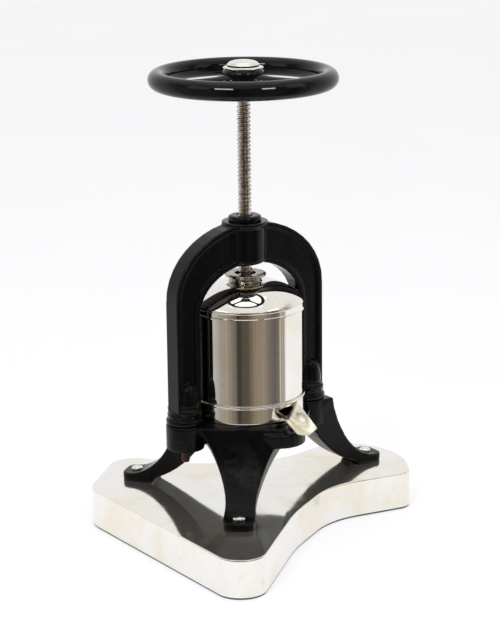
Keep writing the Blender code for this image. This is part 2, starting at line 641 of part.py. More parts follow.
def build_pan():
    low = BED_TOP + TOUCH
    inner = PAN_RADIUS - PAN_WALL
    seat = BODY_RADIUS + TOUCH
    floor_low = PAN_FLOOR - PAN_WALL
    profile = [(0, floor_low), (PAN_FOOT_RADIUS - 0.0025, floor_low), (PAN_FOOT_RADIUS - 0.0025, low),
               (PAN_FOOT_RADIUS, low), (PAN_FOOT_RADIUS + 0.0010, low + 0.0014),
               (PAN_RADIUS - 0.0008, low + 0.0040), (PAN_RADIUS, low + 0.0065),
               (PAN_RADIUS, PAN_RIM_TOP - 0.0016), (PAN_RADIUS + 0.0007, PAN_RIM_TOP - 0.0008),
               (PAN_RADIUS, PAN_RIM_TOP), (seat, PAN_RIM_TOP), (seat, PAN_LEDGE),
               (seat - PAN_LEDGE_WIDTH, PAN_LEDGE), (seat - PAN_LEDGE_WIDTH, PAN_LEDGE - PAN_WALL),
               (inner, PAN_LEDGE - PAN_WALL - 0.0020), (inner, PAN_FLOOR + 0.004),
               (inner - 0.004, PAN_FLOOR), (0, PAN_FLOOR)]
    pan = turned("pan", profile, 48)
    combine(pan, [trough("spout", 0.0, SPOUT_WALL, 0.0, 1.0)], "UNION")
    finish(combine(pan, [outlet()], "DIFFERENCE"), ((0.80, 0.77, 0.68), 0.15, 1.0))


def outlet():
    """Arched hole through the pan's wall, above the trough's surface."""
    turn = Matrix.Rotation(math.radians(SPOUT_AZIMUTH), 4, "Z")
    ceiling = PAN_LEDGE - PAN_WALL - 0.0006
    half = OUTLET_HALF_WIDTH
    spread = (half / SPOUT_ROOT[0]) ** SPOUT_CURVE
    rim, depth = SPOUT_ROOT[1], SPOUT_ROOT[2]
    steps = [-1 + i / 4 for i in range(9)]
    floor = [(half * a, rim - depth * (1 - abs(a) ** SPOUT_CURVE * spread)) for a in steps]
    arch = [(half * a, ceiling - OUTLET_ARCH * a * a) for a in reversed(steps)]
    rings = []
    for reach in (PAN_RADIUS - 0.0060, PAN_RADIUS + 0.0010):
        rings.append([turn @ Vector((reach, across, height)) for across, height in floor + arch])
    return lofted("outlet", rings)


def build_vessel():
    inner = BODY_RADIUS - BODY_WALL
    low = PAN_LEDGE + TOUCH
    body = ring("vessel_body", inner, BODY_RADIUS, low, BODY_TOP, segments=56)
    finish(body, ((0.74, 0.72, 0.69), 0.14, 1.0))

    outer = inner - TOUCH
    floor = low + BASKET_WALL
    profile = [(0, low), (outer, low), (outer, BASKET_TOP), (outer - BASKET_WALL, BASKET_TOP),
               (outer - BASKET_WALL, floor), (0, floor)]
    basket = turned("strainer_basket", profile, 36)
    drills = []
    for count, radius in ((6, 0.016), (12, 0.032), (18, 0.047)):
        for i in range(count):
            spot = polar(radius, 360 * i / count)
            drills.append(cylinder("drill", BASKET_HOLE_RADIUS, low - 0.01, floor + 0.01, spot, 6))
    tool = drills[0]
    join_bodies(tool, drills[1:])
    combine(basket, [tool], "DIFFERENCE")
    slots = []
    for level in (0.30, 0.60):
        height = floor + (BASKET_TOP - floor) * level
        for i in range(12):
            slot = cylinder("slot", BASKET_HOLE_RADIUS * 1.3, outer - 0.006, outer + 0.004, segments=6)
            place = Matrix.Rotation(math.radians(30 * i + 15), 4, "Z") @ Matrix.Translation((0, 0, height))
            slot.data.transform(place @ Matrix.Rotation(math.pi / 2, 4, "Y"))
            slots.append(slot)
    tool = slots[0]
    join_bodies(tool, slots[1:])
    finish(combine(basket, [tool], "DIFFERENCE"), ((0.74, 0.72, 0.69), 0.25, 1.0))


def join_bodies(keep, others):
    """Put separate, non-touching bodies into one mesh, to cut them all at once."""
    shape = bmesh.new()
    shape.from_mesh(keep.data)
    for item in others:
        shape.from_mesh(item.data)
        bpy.data.objects.remove(item, do_unlink=True)
    shape.to_mesh(keep.data)
    shape.free()


def dome_curve(radius, crease, crown, neck, count):
    """Ogee from the crease up to the neck: steep shoulder, flattening towards the neck."""
    points = []
    for i in range(count + 1):
        t = i / count
        out = radius - (radius - neck) * t
        rise = math.sin(math.radians(90 * t)) ** 0.72
        points.append((out, crease + (crown - crease) * rise))
    return points


def build_lid():
    crease_radius = LID_RADIUS - 0.0016
    outer = [(LID_RADIUS, LID_SKIRT_BOTTOM), (LID_RADIUS, LID_SKIRT_BOTTOM + 0.0016),
             (crease_radius + 0.0004, LID_SKIRT_BOTTOM + 0.0024), (crease_radius + 0.0004, LID_CREASE)]
    outer += dome_curve(crease_radius, LID_CREASE, LID_CROWN, LID_NECK_RADIUS, 9)[1:]
    inner_radius = BODY_RADIUS + 2 * TOUCH
    inner_top = dome_curve(BODY_RADIUS - 0.0006, LID_CREASE - LID_WALL, LID_CROWN - LID_WALL,
                           LID_NECK_RADIUS, 9)
    inner = [(LID_HOLE_RADIUS, LID_CROWN), (LID_HOLE_RADIUS, LID_CROWN - LID_WALL)]
    inner += list(reversed(inner_top))
    inner += [(inner_radius, BODY_TOP + TOUCH), (inner_radius, LID_SKIRT_BOTTOM)]
    finish(turned("lid", outer + inner, 48), ((0.80, 0.78, 0.74), 0.08, 1.0))

    low = LID_CROWN + TOUCH
    flange_low = LID_FLANGE_TOP - LID_FLANGE_THICKNESS
    neck = LID_NECK_RADIUS - 0.0012
    edge = LID_FLANGE_THICKNESS * 0.3
    profile = [(LID_HOLE_RADIUS, low), (neck + 0.0010, low), (neck, low + 0.0012), (neck, flange_low - 0.0006),
               (LID_FLANGE_RADIUS - edge, flange_low), (LID_FLANGE_RADIUS, flange_low + edge),
               (LID_FLANGE_RADIUS, LID_FLANGE_TOP - edge), (LID_FLANGE_RADIUS - edge, LID_FLANGE_TOP),
               (LID_HOLE_RADIUS, LID_FLANGE_TOP)]
    finish(turned("lid_collar", profile, 36), ((0.80, 0.78, 0.74), 0.1, 1.0))


def build_presser():
    top = PLATE_BOTTOM + PLATE_THICKNESS
    hub_top = SCREW_SHOULDER - TOUCH - THRUST_WASHER_THICKNESS - TOUCH
    bore = JOURNAL_RADIUS + RUNNING
    pocket = SPIGOT_WASHER_RADIUS + RUNNING
    pocket_top = PLATE_BOTTOM + SPIGOT_HEAD_HEIGHT + SPIGOT_WASHER_THICKNESS + 4 * TOUCH
    profile = [(bore, pocket_top), (pocket, pocket_top), (pocket, PLATE_BOTTOM),
               (PLATE_RADIUS - 0.0012, PLATE_BOTTOM), (PLATE_RADIUS, PLATE_BOTTOM + 0.0012),
               (PLATE_RADIUS, top - 0.0030), (PLATE_RADIUS - 0.0030, top - 0.0010),
               (PLATE_HUB_RADIUS + 0.0060, top), (PLATE_HUB_RADIUS, top + 0.0040),
               (PLATE_HUB_RADIUS, hub_top - 0.0008), (PLATE_HUB_RADIUS - 0.0008, hub_top), (bore, hub_top)]
    finish(turned("presser_plate", profile, 44), ((0.70, 0.68, 0.65), 0.25, 1.0))
    washer = ring("thrust_washer", bore, PLATE_HUB_RADIUS - 0.0012, hub_top + TOUCH,
                  hub_top + TOUCH + THRUST_WASHER_THICKNESS, segments=24)
    finish(washer, ((0.50, 0.36, 0.16), 0.35, 1.0))


def screw_end():
    """Height of the journal's lower face, which carries the spigot washer."""
    return PLATE_BOTTOM + SPIGOT_HEAD_HEIGHT + SPIGOT_WASHER_THICKNESS + 3 * TOUCH


def build_screw():
    low = screw_end()
    seat = HUB_TOP - 0.0012
    stud_top = HUB_TOP + TOUCH + CAP_WASHER_HEIGHT + TOUCH + CAP_STUD_LENGTH
    profile = [(0, low), (JOURNAL_RADIUS, low), (JOURNAL_RADIUS, SCREW_SHOULDER), (SCREW_RADIUS, SCREW_SHOULDER),
               (SCREW_RADIUS, seat), (CAP_STUD_RADIUS, seat), (CAP_STUD_RADIUS, stud_top), (0, stud_top)]
    screw = turned("press_screw", profile, 28)
    keyway = key_block("keyway", TOUCH)
    tap = cylinder("tap", SPIGOT_SCREW_RADIUS + TOUCH, low - 0.01, low + 0.0095, segments=12)
    finish(combine(screw, [keyway, tap], "DIFFERENCE"), ((0.36, 0.33, 0.29), 0.35, 1.0))

    washer_low = low - TOUCH - SPIGOT_WASHER_THICKNESS
    washer = ring("spigot_washer", SPIGOT_SCREW_RADIUS + TOUCH, SPIGOT_WASHER_RADIUS, washer_low,
                  washer_low + SPIGOT_WASHER_THICKNESS, segments=20)
    finish(washer, ((0.55, 0.54, 0.52), 0.35, 1.0))
    head_top = washer_low - TOUCH
    head_low = head_top - SPIGOT_HEAD_HEIGHT
    profile = [(0, head_low), (SPIGOT_HEAD_RADIUS - 0.0008, head_low), (SPIGOT_HEAD_RADIUS, head_low + 0.0008),
               (SPIGOT_HEAD_RADIUS, head_top), (SPIGOT_SCREW_RADIUS, head_top),
               (SPIGOT_SCREW_RADIUS, low + 0.0085), (0, low + 0.0085)]
    finish(turned("spigot_screw", profile, 16), ((0.55, 0.54, 0.52), 0.35, 1.0))


def key_block(name, extra):
    """The hub's key: half in the screw and half in the wheel, under the cap washer."""
    half = KEY_WIDTH / 2 + extra
    low = HUB_TOP - 0.0030 - KEY_LENGTH - extra
    high = HUB_TOP - 0.0030 + extra
    near = SCREW_RADIUS - KEY_PROUD - extra
    far = SCREW_RADIUS + KEY_PROUD + extra
    return extruded(name, [(near, -half), (far, -half), (far, half), (near, half)], low, high)


def build_wheel():
    shape = []
    for i in range(14):
        t = math.tau * i / 14
        shape.append((WHEEL_RIM_RADIUS + WHEEL_TUBE_RADIUS * math.cos(t),
                      WHEEL_Z + WHEEL_TUBE_RADIUS * math.sin(t)))
    wheel = turned("handwheel", shape, 48)
    hub = [(0, HUB_BOTTOM), (HUB_RADIUS - 0.0035, HUB_BOTTOM), (HUB_RADIUS - 0.0010, HUB_BOTTOM + 0.0010),
           (HUB_RADIUS, HUB_BOTTOM + 0.0035), (HUB_RADIUS, HUB_TOP - 0.0030),
           (HUB_RADIUS - 0.0009, HUB_TOP - 0.0008), (HUB_RADIUS - 0.0028, HUB_TOP), (0, HUB_TOP)]
    pieces = [turned("hub", hub, 32)]
    for k in range(SPOKE_COUNT):
        turn = Matrix.Rotation(math.radians(SPOKE_AZIMUTH + 360 * k / SPOKE_COUNT), 4, "Z")
        rings = []
        for share in (0.0, 0.25, 0.5, 0.75, 1.0):
            reach = 0.012 + (WHEEL_RIM_RADIUS - 0.012) * share
            flare = 1.0 + 0.45 * (2 * share - 1) ** 2
            height = WHEEL_Z - 0.0015 * math.sin(math.pi * share)
            points = []
            for i in range(12):
                t = math.tau * i / 12
                points.append(turn @ Vector((reach, SPOKE_HALF_WIDTH * flare * math.cos(t),
                                             height + SPOKE_HALF_HEIGHT * flare ** 0.5 * math.sin(t))))
            rings.append(points)
        pieces.append(lofted("spoke_%d" % k, rings))
    combine(wheel, pieces, "UNION")
    bore = cylinder("wheel_bore", SCREW_RADIUS + TOUCH, HUB_BOTTOM - 0.01, HUB_TOP + 0.01, segments=24)
    slot = key_block("wheel_keyway", TOUCH)
    finish(combine(wheel, [bore, slot], "DIFFERENCE"), ((0.006, 0.006, 0.007), 0.05, 0.0))
    finish(key_block("hub_key", 0.0), ((0.40, 0.39, 0.38), 0.4, 1.0))


def build_cap():
    low = HUB_TOP + TOUCH
    profile = [(0, low), (CAP_WASHER_RADIUS, low), (CAP_WASHER_RADIUS - 0.0012, low + CAP_WASHER_HEIGHT),
               (0, low + CAP_WASHER_HEIGHT)]
    washer = turned("cap_washer", profile, 6)
    bore = cylinder("washer_bore", CAP_STUD_RADIUS + TOUCH, low - 0.01, low + 0.01, segments=24)
    finish(combine(washer, [bore], "DIFFERENCE"), ((0.78, 0.77, 0.74), 0.1, 1.0))
    low = low + CAP_WASHER_HEIGHT + TOUCH
    base = low + CAP_NUT_BASE
    bore = CAP_STUD_RADIUS + TOUCH
    bore_top = low + CAP_STUD_LENGTH + TOUCH
    profile = [(bore, low), (CAP_NUT_RADIUS, low), (CAP_NUT_RADIUS, base)]
    for i in range(1, 8):
        t = math.radians(90 * i / 7)
        profile.append(((CAP_NUT_RADIUS - 0.001) * math.cos(t) if i < 7 else 0.0,
                        base + CAP_NUT_DOME * math.sin(t)))
    profile += [(0, bore_top), (bore, bore_top)]
    finish(closed_cap(profile), ((0.80, 0.79, 0.76), 0.06, 1.0))


def closed_cap(profile):
    """A cap whose profile starts and ends off the axis and touches it twice."""
    shape = bmesh.new()
    points = [shape.verts.new((radius, 0.0, height)) for radius, height in profile]
    edges = []
    for i, first in enumerate(points):
        second = points[(i + 1) % len(points)]
        if first.co.x > 1e-9 or second.co.x > 1e-9:
            edges.append(shape.edges.new((first, second)))
    bmesh.ops.spin(shape, geom=points + edges, cent=(0, 0, 0), axis=(0, 0, 1), angle=math.tau,
                   steps=32, use_merge=True)
    bmesh.ops.remove_doubles(shape, verts=shape.verts, dist=1e-6)
    return object_from(shape, "cap_nut")


def add_joint_empties():
    """One empty on each joint's axis, carrying the pieces that move with it."""
    moving = {
        "press_axis": ((0, 0, PLATE_BOTTOM), ("presser_plate", "thrust_washer")),
        "screw_axis": ((0, 0, SCREW_SHOULDER), ("press_screw", "spigot_washer", "spigot_screw", "handwheel",
                                                "hub_key", "cap_washer", "cap_nut")),
        "lid_axis": ((0, 0, LID_SKIRT_BOTTOM), ("lid", "lid_collar")),
    }
    for name, (place, pieces) in moving.items():
        empty = bpy.data.objects.new(name, None)
        bpy.context.scene.collection.objects.link(empty)
        empty.location = place
        bpy.context.view_layer.update()
        for piece in pieces:
            child = bpy.data.objects[piece]
            child.parent = empty
            child.matrix_parent_inverse = empty.matrix_world.inverted()
    bpy.data.objects["screw_axis"].parent = bpy.data.objects["press_axis"]
    bpy.data.objects["screw_axis"].matrix_parent_inverse = Matrix.Translation((0, 0, -PLATE_BOTTOM))


def main():
    clear_scene()
    build_plinth()
    build_stand()
    build_yoke()
    build_studs()
    build_foot_fasteners()
    build_nut()
    build_pan()
    build_vessel()
    build_lid()
    build_presser()
    build_screw()
    build_wheel()
    build_cap()
    add_joint_empties()


main()
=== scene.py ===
import math

import bmesh
import bpy
from mathutils import Matrix, Vector


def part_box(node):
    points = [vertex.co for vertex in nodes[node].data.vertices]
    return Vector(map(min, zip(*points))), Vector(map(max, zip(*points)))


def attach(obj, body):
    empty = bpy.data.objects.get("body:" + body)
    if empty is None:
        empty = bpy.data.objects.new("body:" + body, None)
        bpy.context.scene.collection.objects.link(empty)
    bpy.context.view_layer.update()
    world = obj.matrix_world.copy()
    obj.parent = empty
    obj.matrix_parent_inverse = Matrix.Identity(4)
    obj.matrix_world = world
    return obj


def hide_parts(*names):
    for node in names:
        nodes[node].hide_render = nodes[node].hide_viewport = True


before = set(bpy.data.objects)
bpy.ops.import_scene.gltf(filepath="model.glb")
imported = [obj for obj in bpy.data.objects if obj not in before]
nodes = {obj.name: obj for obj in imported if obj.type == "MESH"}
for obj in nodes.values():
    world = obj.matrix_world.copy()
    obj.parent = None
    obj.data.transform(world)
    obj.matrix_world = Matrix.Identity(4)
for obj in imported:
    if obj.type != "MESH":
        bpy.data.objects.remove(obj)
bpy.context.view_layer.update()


def span(node):
    """Half width and the low and high ends of a round CAD node."""
    low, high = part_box(node)
    return (high[0] - low[0]) / 2, low[2], high[2]


# ---------------------------------------------------------------- node groups

def node_group(name, inputs, outputs):
    tree = bpy.data.node_groups.new(name, "ShaderNodeTree")
    for label, kind, value in inputs:
        socket = tree.interface.new_socket(label, in_out="INPUT", socket_type=kind)
        if value is not None:
            socket.default_value = value
    for label, kind in outputs:
        tree.interface.new_socket(label, in_out="OUTPUT", socket_type=kind)
    return tree, tree.nodes.new("NodeGroupInput"), tree.nodes.new("NodeGroupOutput")


def map_range(tree, value, low, high, to_low=0.0, to_high=1.0):
    node = tree.nodes.new("ShaderNodeMapRange")
    for socket, amount in zip(("From Min", "From Max", "To Min", "To Max"), (low, high, to_low, to_high)):
        if hasattr(amount, "is_output"):
            tree.links.new(amount, node.inputs[socket])
        else:
            node.inputs[socket].default_value = amount
    tree.links.new(value, node.inputs["Value"])
    return node.outputs["Result"]


def math_node(tree, operation, first, second):
    node = tree.nodes.new("ShaderNodeMath")
    node.operation = operation
    for index, value in enumerate((first, second)):
        if hasattr(value, "is_output"):
            tree.links.new(value, node.inputs[index])
        else:
            node.inputs[index].default_value = value
    return node.outputs[0]


def noise(tree, vector, scale, detail=4.0, roughness=0.55, distortion=0.0):
    node = tree.nodes.new("ShaderNodeTexNoise")
    node.inputs["Detail"].default_value = detail
    node.inputs["Roughness"].default_value = roughness
    node.inputs["Distortion"].default_value = distortion
    if hasattr(scale, "is_output"):
        tree.links.new(scale, node.inputs["Scale"])
    else:
        node.inputs["Scale"].default_value = scale
    tree.links.new(vector, node.inputs["Vector"])
    return node.outputs["Fac"]


def make_mottle_group():
    """Soft uneven patches, as a mask."""
    tree, start, end = node_group("soft_mottle", [
        ("Vector", "NodeSocketVector", None), ("Scale", "NodeSocketFloat", 12.0),
        ("Low", "NodeSocketFloat", 0.42), ("High", "NodeSocketFloat", 0.62)],
        [("Mask", "NodeSocketFloat")])
    fac = noise(tree, start.outputs["Vector"], start.outputs["Scale"], 6.0, 0.6, 0.6)
    mask = map_range(tree, fac, start.outputs["Low"], start.outputs["High"])
    tree.links.new(mask, end.inputs["Mask"])
    return tree


def make_cast_group():
    """The skin of a painted sand casting: a fine grain over broad dents, with scattered pits."""
    tree, start, end = node_group("cast_skin", [
        ("Vector", "NodeSocketVector", None), ("Grain scale", "NodeSocketFloat", 900.0),
        ("Dent scale", "NodeSocketFloat", 90.0), ("Pit scale", "NodeSocketFloat", 260.0)],
        [("Height", "NodeSocketFloat"), ("Pits", "NodeSocketFloat")])
    grain = noise(tree, start.outputs["Vector"], start.outputs["Grain scale"], 3.0, 0.6)
    dents = noise(tree, start.outputs["Vector"], start.outputs["Dent scale"], 4.0, 0.55)
    cells = tree.nodes.new("ShaderNodeTexVoronoi")
    tree.links.new(start.outputs["Vector"], cells.inputs["Vector"])
    tree.links.new(start.outputs["Pit scale"], cells.inputs["Scale"])
    pits = map_range(tree, cells.outputs["Distance"], 0.05, 0.30)
    height = math_node(tree, "MULTIPLY", grain, 0.25)
    height = math_node(tree, "ADD", height, dents)
    height = math_node(tree, "ADD", height, math_node(tree, "MULTIPLY", pits, 0.35))
    tree.links.new(height, end.inputs["Height"])
    tree.links.new(pits, end.inputs["Pits"])
    return tree


def make_edge_group():
    """Where an edge has been rubbed, broken up by noise."""
    tree, start, end = node_group("rubbed_edges", [
        ("Vector", "NodeSocketVector", None), ("Low", "NodeSocketFloat", 0.52),
        ("High", "NodeSocketFloat", 0.60), ("Breakup scale", "NodeSocketFloat", 120.0)],
        [("Mask", "NodeSocketFloat")])
    shape = tree.nodes.new("ShaderNodeNewGeometry")
    sharp = map_range(tree, shape.outputs["Pointiness"], start.outputs["Low"], start.outputs["High"])
    broken = noise(tree, start.outputs["Vector"], start.outputs["Breakup scale"], 5.0, 0.65)
    mask = math_node(tree, "MULTIPLY", sharp, map_range(tree, broken, 0.40, 0.65))
    tree.links.new(mask, end.inputs["Mask"])
    return tree


def make_turning_group():
    """Fine rings left by a lathe or by polishing round the Z axis."""
    tree, start, end = node_group("turning_marks", [
        ("Vector", "NodeSocketVector", None), ("Ring scale", "NodeSocketFloat", 1400.0)],
        [("Height", "NodeSocketFloat")])
    parts = tree.nodes.new("ShaderNodeSeparateXYZ")
    tree.links.new(start.outputs["Vector"], parts.inputs["Vector"])
    square = math_node(tree, "ADD", math_node(tree, "POWER", parts.outputs["X"], 2.0),
                       math_node(tree, "POWER", parts.outputs["Y"], 2.0))
    radius = math_node(tree, "SQRT", square, 0.0)
    joined = tree.nodes.new("ShaderNodeCombineXYZ")
    tree.links.new(radius, joined.inputs["X"])
    tree.links.new(parts.outputs["Z"], joined.inputs["Y"])
    height = noise(tree, joined.outputs["Vector"], start.outputs["Ring scale"], 2.0, 0.5)
    tree.links.new(height, end.inputs["Height"])
    return tree


def make_scratch_group():
    """Hairline scratches in two directions, as a mask and a height."""
    tree, start, end = node_group("hairlines", [
        ("Vector", "NodeSocketVector", None), ("Scale", "NodeSocketFloat", 160.0)],
        [("Mask", "NodeSocketFloat"), ("Height", "NodeSocketFloat")])
    found = []
    for turn in (0.5, -0.9):
        tilt = tree.nodes.new("ShaderNodeMapping")
        tilt.inputs["Rotation"].default_value = (turn, turn * 0.7, turn * 1.4)
        tilt.inputs["Scale"].default_value = (1.0, 0.03, 1.0)
        tree.links.new(start.outputs["Vector"], tilt.inputs["Vector"])
        fac = noise(tree, tilt.outputs["Vector"], start.outputs["Scale"], 8.0, 0.75)
        found.append(map_range(tree, fac, 0.60, 0.72))
    mask = math_node(tree, "MAXIMUM", found[0], found[1])
    tree.links.new(mask, end.inputs["Mask"])
    tree.links.new(math_node(tree, "MULTIPLY", mask, -1.0), end.inputs["Height"])
    return tree


def make_felt_group():
    """Matted fibres."""
    tree, start, end = node_group("felt_fibres", [
        ("Vector", "NodeSocketVector", None), ("Scale", "NodeSocketFloat", 1800.0)],
        [("Height", "NodeSocketFloat"), ("Mask", "NodeSocketFloat")])
    fine = noise(tree, start.outputs["Vector"], start.outputs["Scale"], 8.0, 0.75, 2.0)
    broad = noise(tree, start.outputs["Vector"], 140.0, 4.0)
    tree.links.new(math_node(tree, "ADD", fine, broad), end.inputs["Height"])
    tree.links.new(map_range(tree, fine, 0.35, 0.65), end.inputs["Mask"])
    return tree


GROUPS = {"mottle": make_mottle_group(), "cast": make_cast_group(), "edges": make_edge_group(),
          "turning": make_turning_group(), "scratches": make_scratch_group(), "felt": make_felt_group()}


# ---------------------------------------------------------------- materials

class Paint:
    """A material being built: its tree, its shader, and object coordinates centred on the press."""

    def __init__(self, name, colour, roughness, metallic):
        self.material = bpy.data.materials.new(name)
        self.material.use_nodes = True
        self.tree = self.material.node_tree
        self.shader = self.tree.nodes["Principled BSDF"]
        self.shader.inputs["Base Color"].default_value = (*colour, 1.0)
        self.shader.inputs["Roughness"].default_value = roughness
        self.shader.inputs["Metallic"].default_value = metallic
        coordinates = self.tree.nodes.new("ShaderNodeTexCoord")
        mapping = self.tree.nodes.new("ShaderNodeMapping")
        self.tree.links.new(coordinates.outputs["Object"], mapping.inputs["Vector"])
        self.vector = mapping.outputs["Vector"]
        self.normal = None

    def group(self, key, **values):
        node = self.tree.nodes.new("ShaderNodeGroup")
        node.node_tree = GROUPS[key]
        self.tree.links.new(self.vector, node.inputs["Vector"])
        for label, value in values.items():
            node.inputs[label.replace("_", " ")].default_value = value
        return node

    def blend(self, mask, first, second):
        """Colour mixed by a mask; each end is a colour or another mix."""
        node = self.tree.nodes.new("ShaderNodeMix")
        node.data_type = "RGBA"
        self.tree.links.new(mask, node.inputs["Factor"])
        for socket, value in ((node.inputs[6], first), (node.inputs[7], second)):
            if hasattr(value, "is_output"):
                self.tree.links.new(value, socket)
            else:
                socket.default_value = (*value, 1.0)
        return node.outputs[2]

    def colour(self, socket):
        self.tree.links.new(socket, self.shader.inputs["Base Color"])

    def roughness(self, mask, low, high):
        self.tree.links.new(map_range(self.tree, mask, 0.0, 1.0, low, high), self.shader.inputs["Roughness"])

    def bump(self, height, distance, strength=1.0):
        node = self.tree.nodes.new("ShaderNodeBump")
        node.inputs["Distance"].default_value = distance
        node.inputs["Strength"].default_value = strength
        self.tree.links.new(height, node.inputs["Height"])
        if self.normal is not None:
            self.tree.links.new(self.normal, node.inputs["Normal"])
        self.normal = node.outputs["Normal"]
        self.tree.links.new(self.normal, self.shader.inputs["Normal"])

    def coat(self, weight, roughness):
        self.shader.inputs["Coat Weight"].default_value = weight
        self.shader.inputs["Coat Roughness"].default_value = roughness


def gloss_black():
    """Thick glossy enamel, levelled almost flat, with dust and a few rubs."""
    paint = Paint("gloss_black_enamel", (0.008, 0.008, 0.009), 0.07, 0.0)
    mottle = paint.group("mottle", Scale=35.0, Low=0.45, High=0.75)
    wear = paint.group("edges", Low=0.53, High=0.62, Breakup_scale=160.0)
    base = paint.blend(mottle.outputs["Mask"], (0.003, 0.003, 0.0035), (0.006, 0.006, 0.0065))
    paint.colour(paint.blend(wear.outputs["Mask"], base, (0.020, 0.019, 0.018)))
    paint.roughness(mottle.outputs["Mask"], 0.05, 0.13)
    skin = paint.group("cast", Grain_scale=420.0, Dent_scale=45.0, Pit_scale=90.0)
    paint.bump(skin.outputs["Height"], 0.00012, 0.35)
    paint.coat(0.12, 0.03)
    paint.shader.inputs["Specular IOR Level"].default_value = 0.13
    return paint.material


def iron_black(name, rough, grain, distance):
    """Black paint over a sand casting."""
    paint = Paint(name, (0.012, 0.012, 0.013), rough, 0.0)
    mottle = paint.group("mottle", Scale=28.0, Low=0.40, High=0.68)
    wear = paint.group("edges", Low=0.52, High=0.60, Breakup_scale=90.0)
    base = paint.blend(mottle.outputs["Mask"], (0.002, 0.002, 0.0023), (0.0045, 0.0042, 0.0042))
    paint.colour(paint.blend(wear.outputs["Mask"], base, (0.035, 0.031, 0.028)))
    paint.roughness(mottle.outputs["Mask"], rough * 0.75, rough * 1.3)
    skin = paint.group("cast", Grain_scale=grain, Dent_scale=grain * 0.16, Pit_scale=grain * 0.4)
    paint.bump(skin.outputs["Height"], distance, 0.8)
    paint.shader.inputs["Specular IOR Level"].default_value = 0.15
    return paint.material


def silver_plate(name, bright, warm, rough, wave, metallic=1.0):
    """Old silver plate: polished, softly uneven, with a pale yellow tarnish in patches."""
    paint = Paint(name, bright, rough, metallic)
    patches = paint.group("mottle", Scale=14.0, Low=0.46, High=0.70)
    spots = paint.group("mottle", Scale=120.0, Low=0.60, High=0.78)
    hair = paint.group("scratches", Scale=180.0)
    base = paint.blend(patches.outputs["Mask"], bright, warm)
    paint.colour(paint.blend(spots.outputs["Mask"], base, tuple(c * 0.90 for c in warm)))
    scuffed = math_node(paint.tree, "MAXIMUM", patches.outputs["Mask"], hair.outputs["Mask"])
    paint.roughness(scuffed, rough * 0.7, rough * 1.6)
    dents = noise(paint.tree, paint.vector, wave, 2.0, 0.4)
    paint.bump(dents, 0.0004, 0.14)
    paint.bump(hair.outputs["Height"], 0.00001, 0.2)
    return paint.material


def worn_steel(name, bright, dark, rough, rings=1500.0):
    paint = Paint(name, bright, rough, 1.0)
    grime = paint.group("mottle", Scale=160.0, Low=0.38, High=0.66)
    wear = paint.group("edges", Low=0.50, High=0.58, Breakup_scale=400.0)
    base = paint.blend(grime.outputs["Mask"], dark, bright)
    paint.colour(paint.blend(wear.outputs["Mask"], base, tuple(min(1.0, c * 1.7) for c in bright)))
    paint.roughness(grime.outputs["Mask"], rough * 1.35, rough * 0.8)
    marks = paint.group("turning", Ring_scale=rings)
    paint.bump(marks.outputs["Height"], 0.00005, 0.5)
    return paint.material


def rusty():
    paint = Paint("rusted_steel", (0.16, 0.07, 0.035), 0.75, 0.0)
    patches = paint.group("mottle", Scale=240.0, Low=0.40, High=0.62)
    deep = paint.group("mottle", Scale=600.0, Low=0.45, High=0.60)
    base = paint.blend(patches.outputs["Mask"], (0.035, 0.022, 0.016), (0.17, 0.065, 0.028))
    paint.colour(paint.blend(deep.outputs["Mask"], base, (0.07, 0.035, 0.022)))
    paint.roughness(patches.outputs["Mask"], 0.55, 0.9)
    skin = paint.group("cast", Grain_scale=1500.0, Dent_scale=400.0, Pit_scale=900.0)
    paint.bump(skin.outputs["Height"], 0.0003, 0.8)
    return paint.material


def wood():
    paint = Paint("core_pine", (0.45, 0.28, 0.14), 0.7, 0.0)
    grain = paint.tree.nodes.new("ShaderNodeTexWave")
    grain.inputs["Scale"].default_value = 60.0
    grain.inputs["Distortion"].default_value = 6.0
    grain.inputs["Detail"].default_value = 3.0
    paint.tree.links.new(paint.vector, grain.inputs["Vector"])
    paint.colour(paint.blend(grain.outputs["Fac"], (0.50, 0.33, 0.17), (0.33, 0.19, 0.09)))
    paint.roughness(grain.outputs["Fac"], 0.6, 0.8)
    paint.bump(grain.outputs["Fac"], 0.0002, 0.5)
    return paint.material


def baize():
    paint = Paint("green_baize", (0.012, 0.075, 0.055), 0.95, 0.0)
    fibres = paint.group("felt", Scale=1600.0)
    paint.colour(paint.blend(fibres.outputs["Mask"], (0.006, 0.045, 0.034), (0.020, 0.110, 0.080)))
    paint.roughness(fibres.outputs["Mask"], 0.85, 1.0)
    paint.shader.inputs["Sheen Weight"].default_value = 0.4
    paint.bump(fibres.outputs["Height"], 0.0005, 0.9)
    return paint.material


GLOSS = gloss_black()
IRON = iron_black("black_yoke_paint", 0.11, 520.0, 0.00020)
ROUGH_IRON = iron_black("black_stand_paint", 0.24, 620.0, 0.00060)
SILVER = silver_plate("silver_plate", (0.86, 0.84, 0.80), (0.80, 0.75, 0.63), 0.055, 26.0)
PLINTH_SILVER = silver_plate("plinth_plate", (0.88, 0.865, 0.83), (0.84, 0.78, 0.64), 0.10, 16.0, 0.945)
SPOUT_SILVER = silver_plate("spout_plate", (0.82, 0.79, 0.68), (0.76, 0.70, 0.50), 0.20, 40.0)
# Painted shade: a much darker copy of the silver plate, dark grey all over, for the lid collar, which sits
# in shade under the black boss.
SHADED_COLLAR_SILVER = worn_steel("shaded_collar_plate", (0.46, 0.43, 0.38), (0.20, 0.18, 0.15), 0.18, 900.0)
NICKEL = silver_plate("polished_nickel", (0.84, 0.83, 0.80), (0.74, 0.71, 0.65), 0.05, 60.0)
SCREW_STEEL = worn_steel("screw_steel", (0.62, 0.58, 0.53), (0.26, 0.22, 0.19), 0.17)
PLAIN_STEEL = worn_steel("plain_steel", (0.55, 0.54, 0.52), (0.35, 0.33, 0.31), 0.34)
BRONZE = worn_steel("turned_bronze", (0.58, 0.42, 0.20), (0.35, 0.24, 0.11), 0.30)
RUST = rusty()
WOOD = wood()
BAIZE = baize()


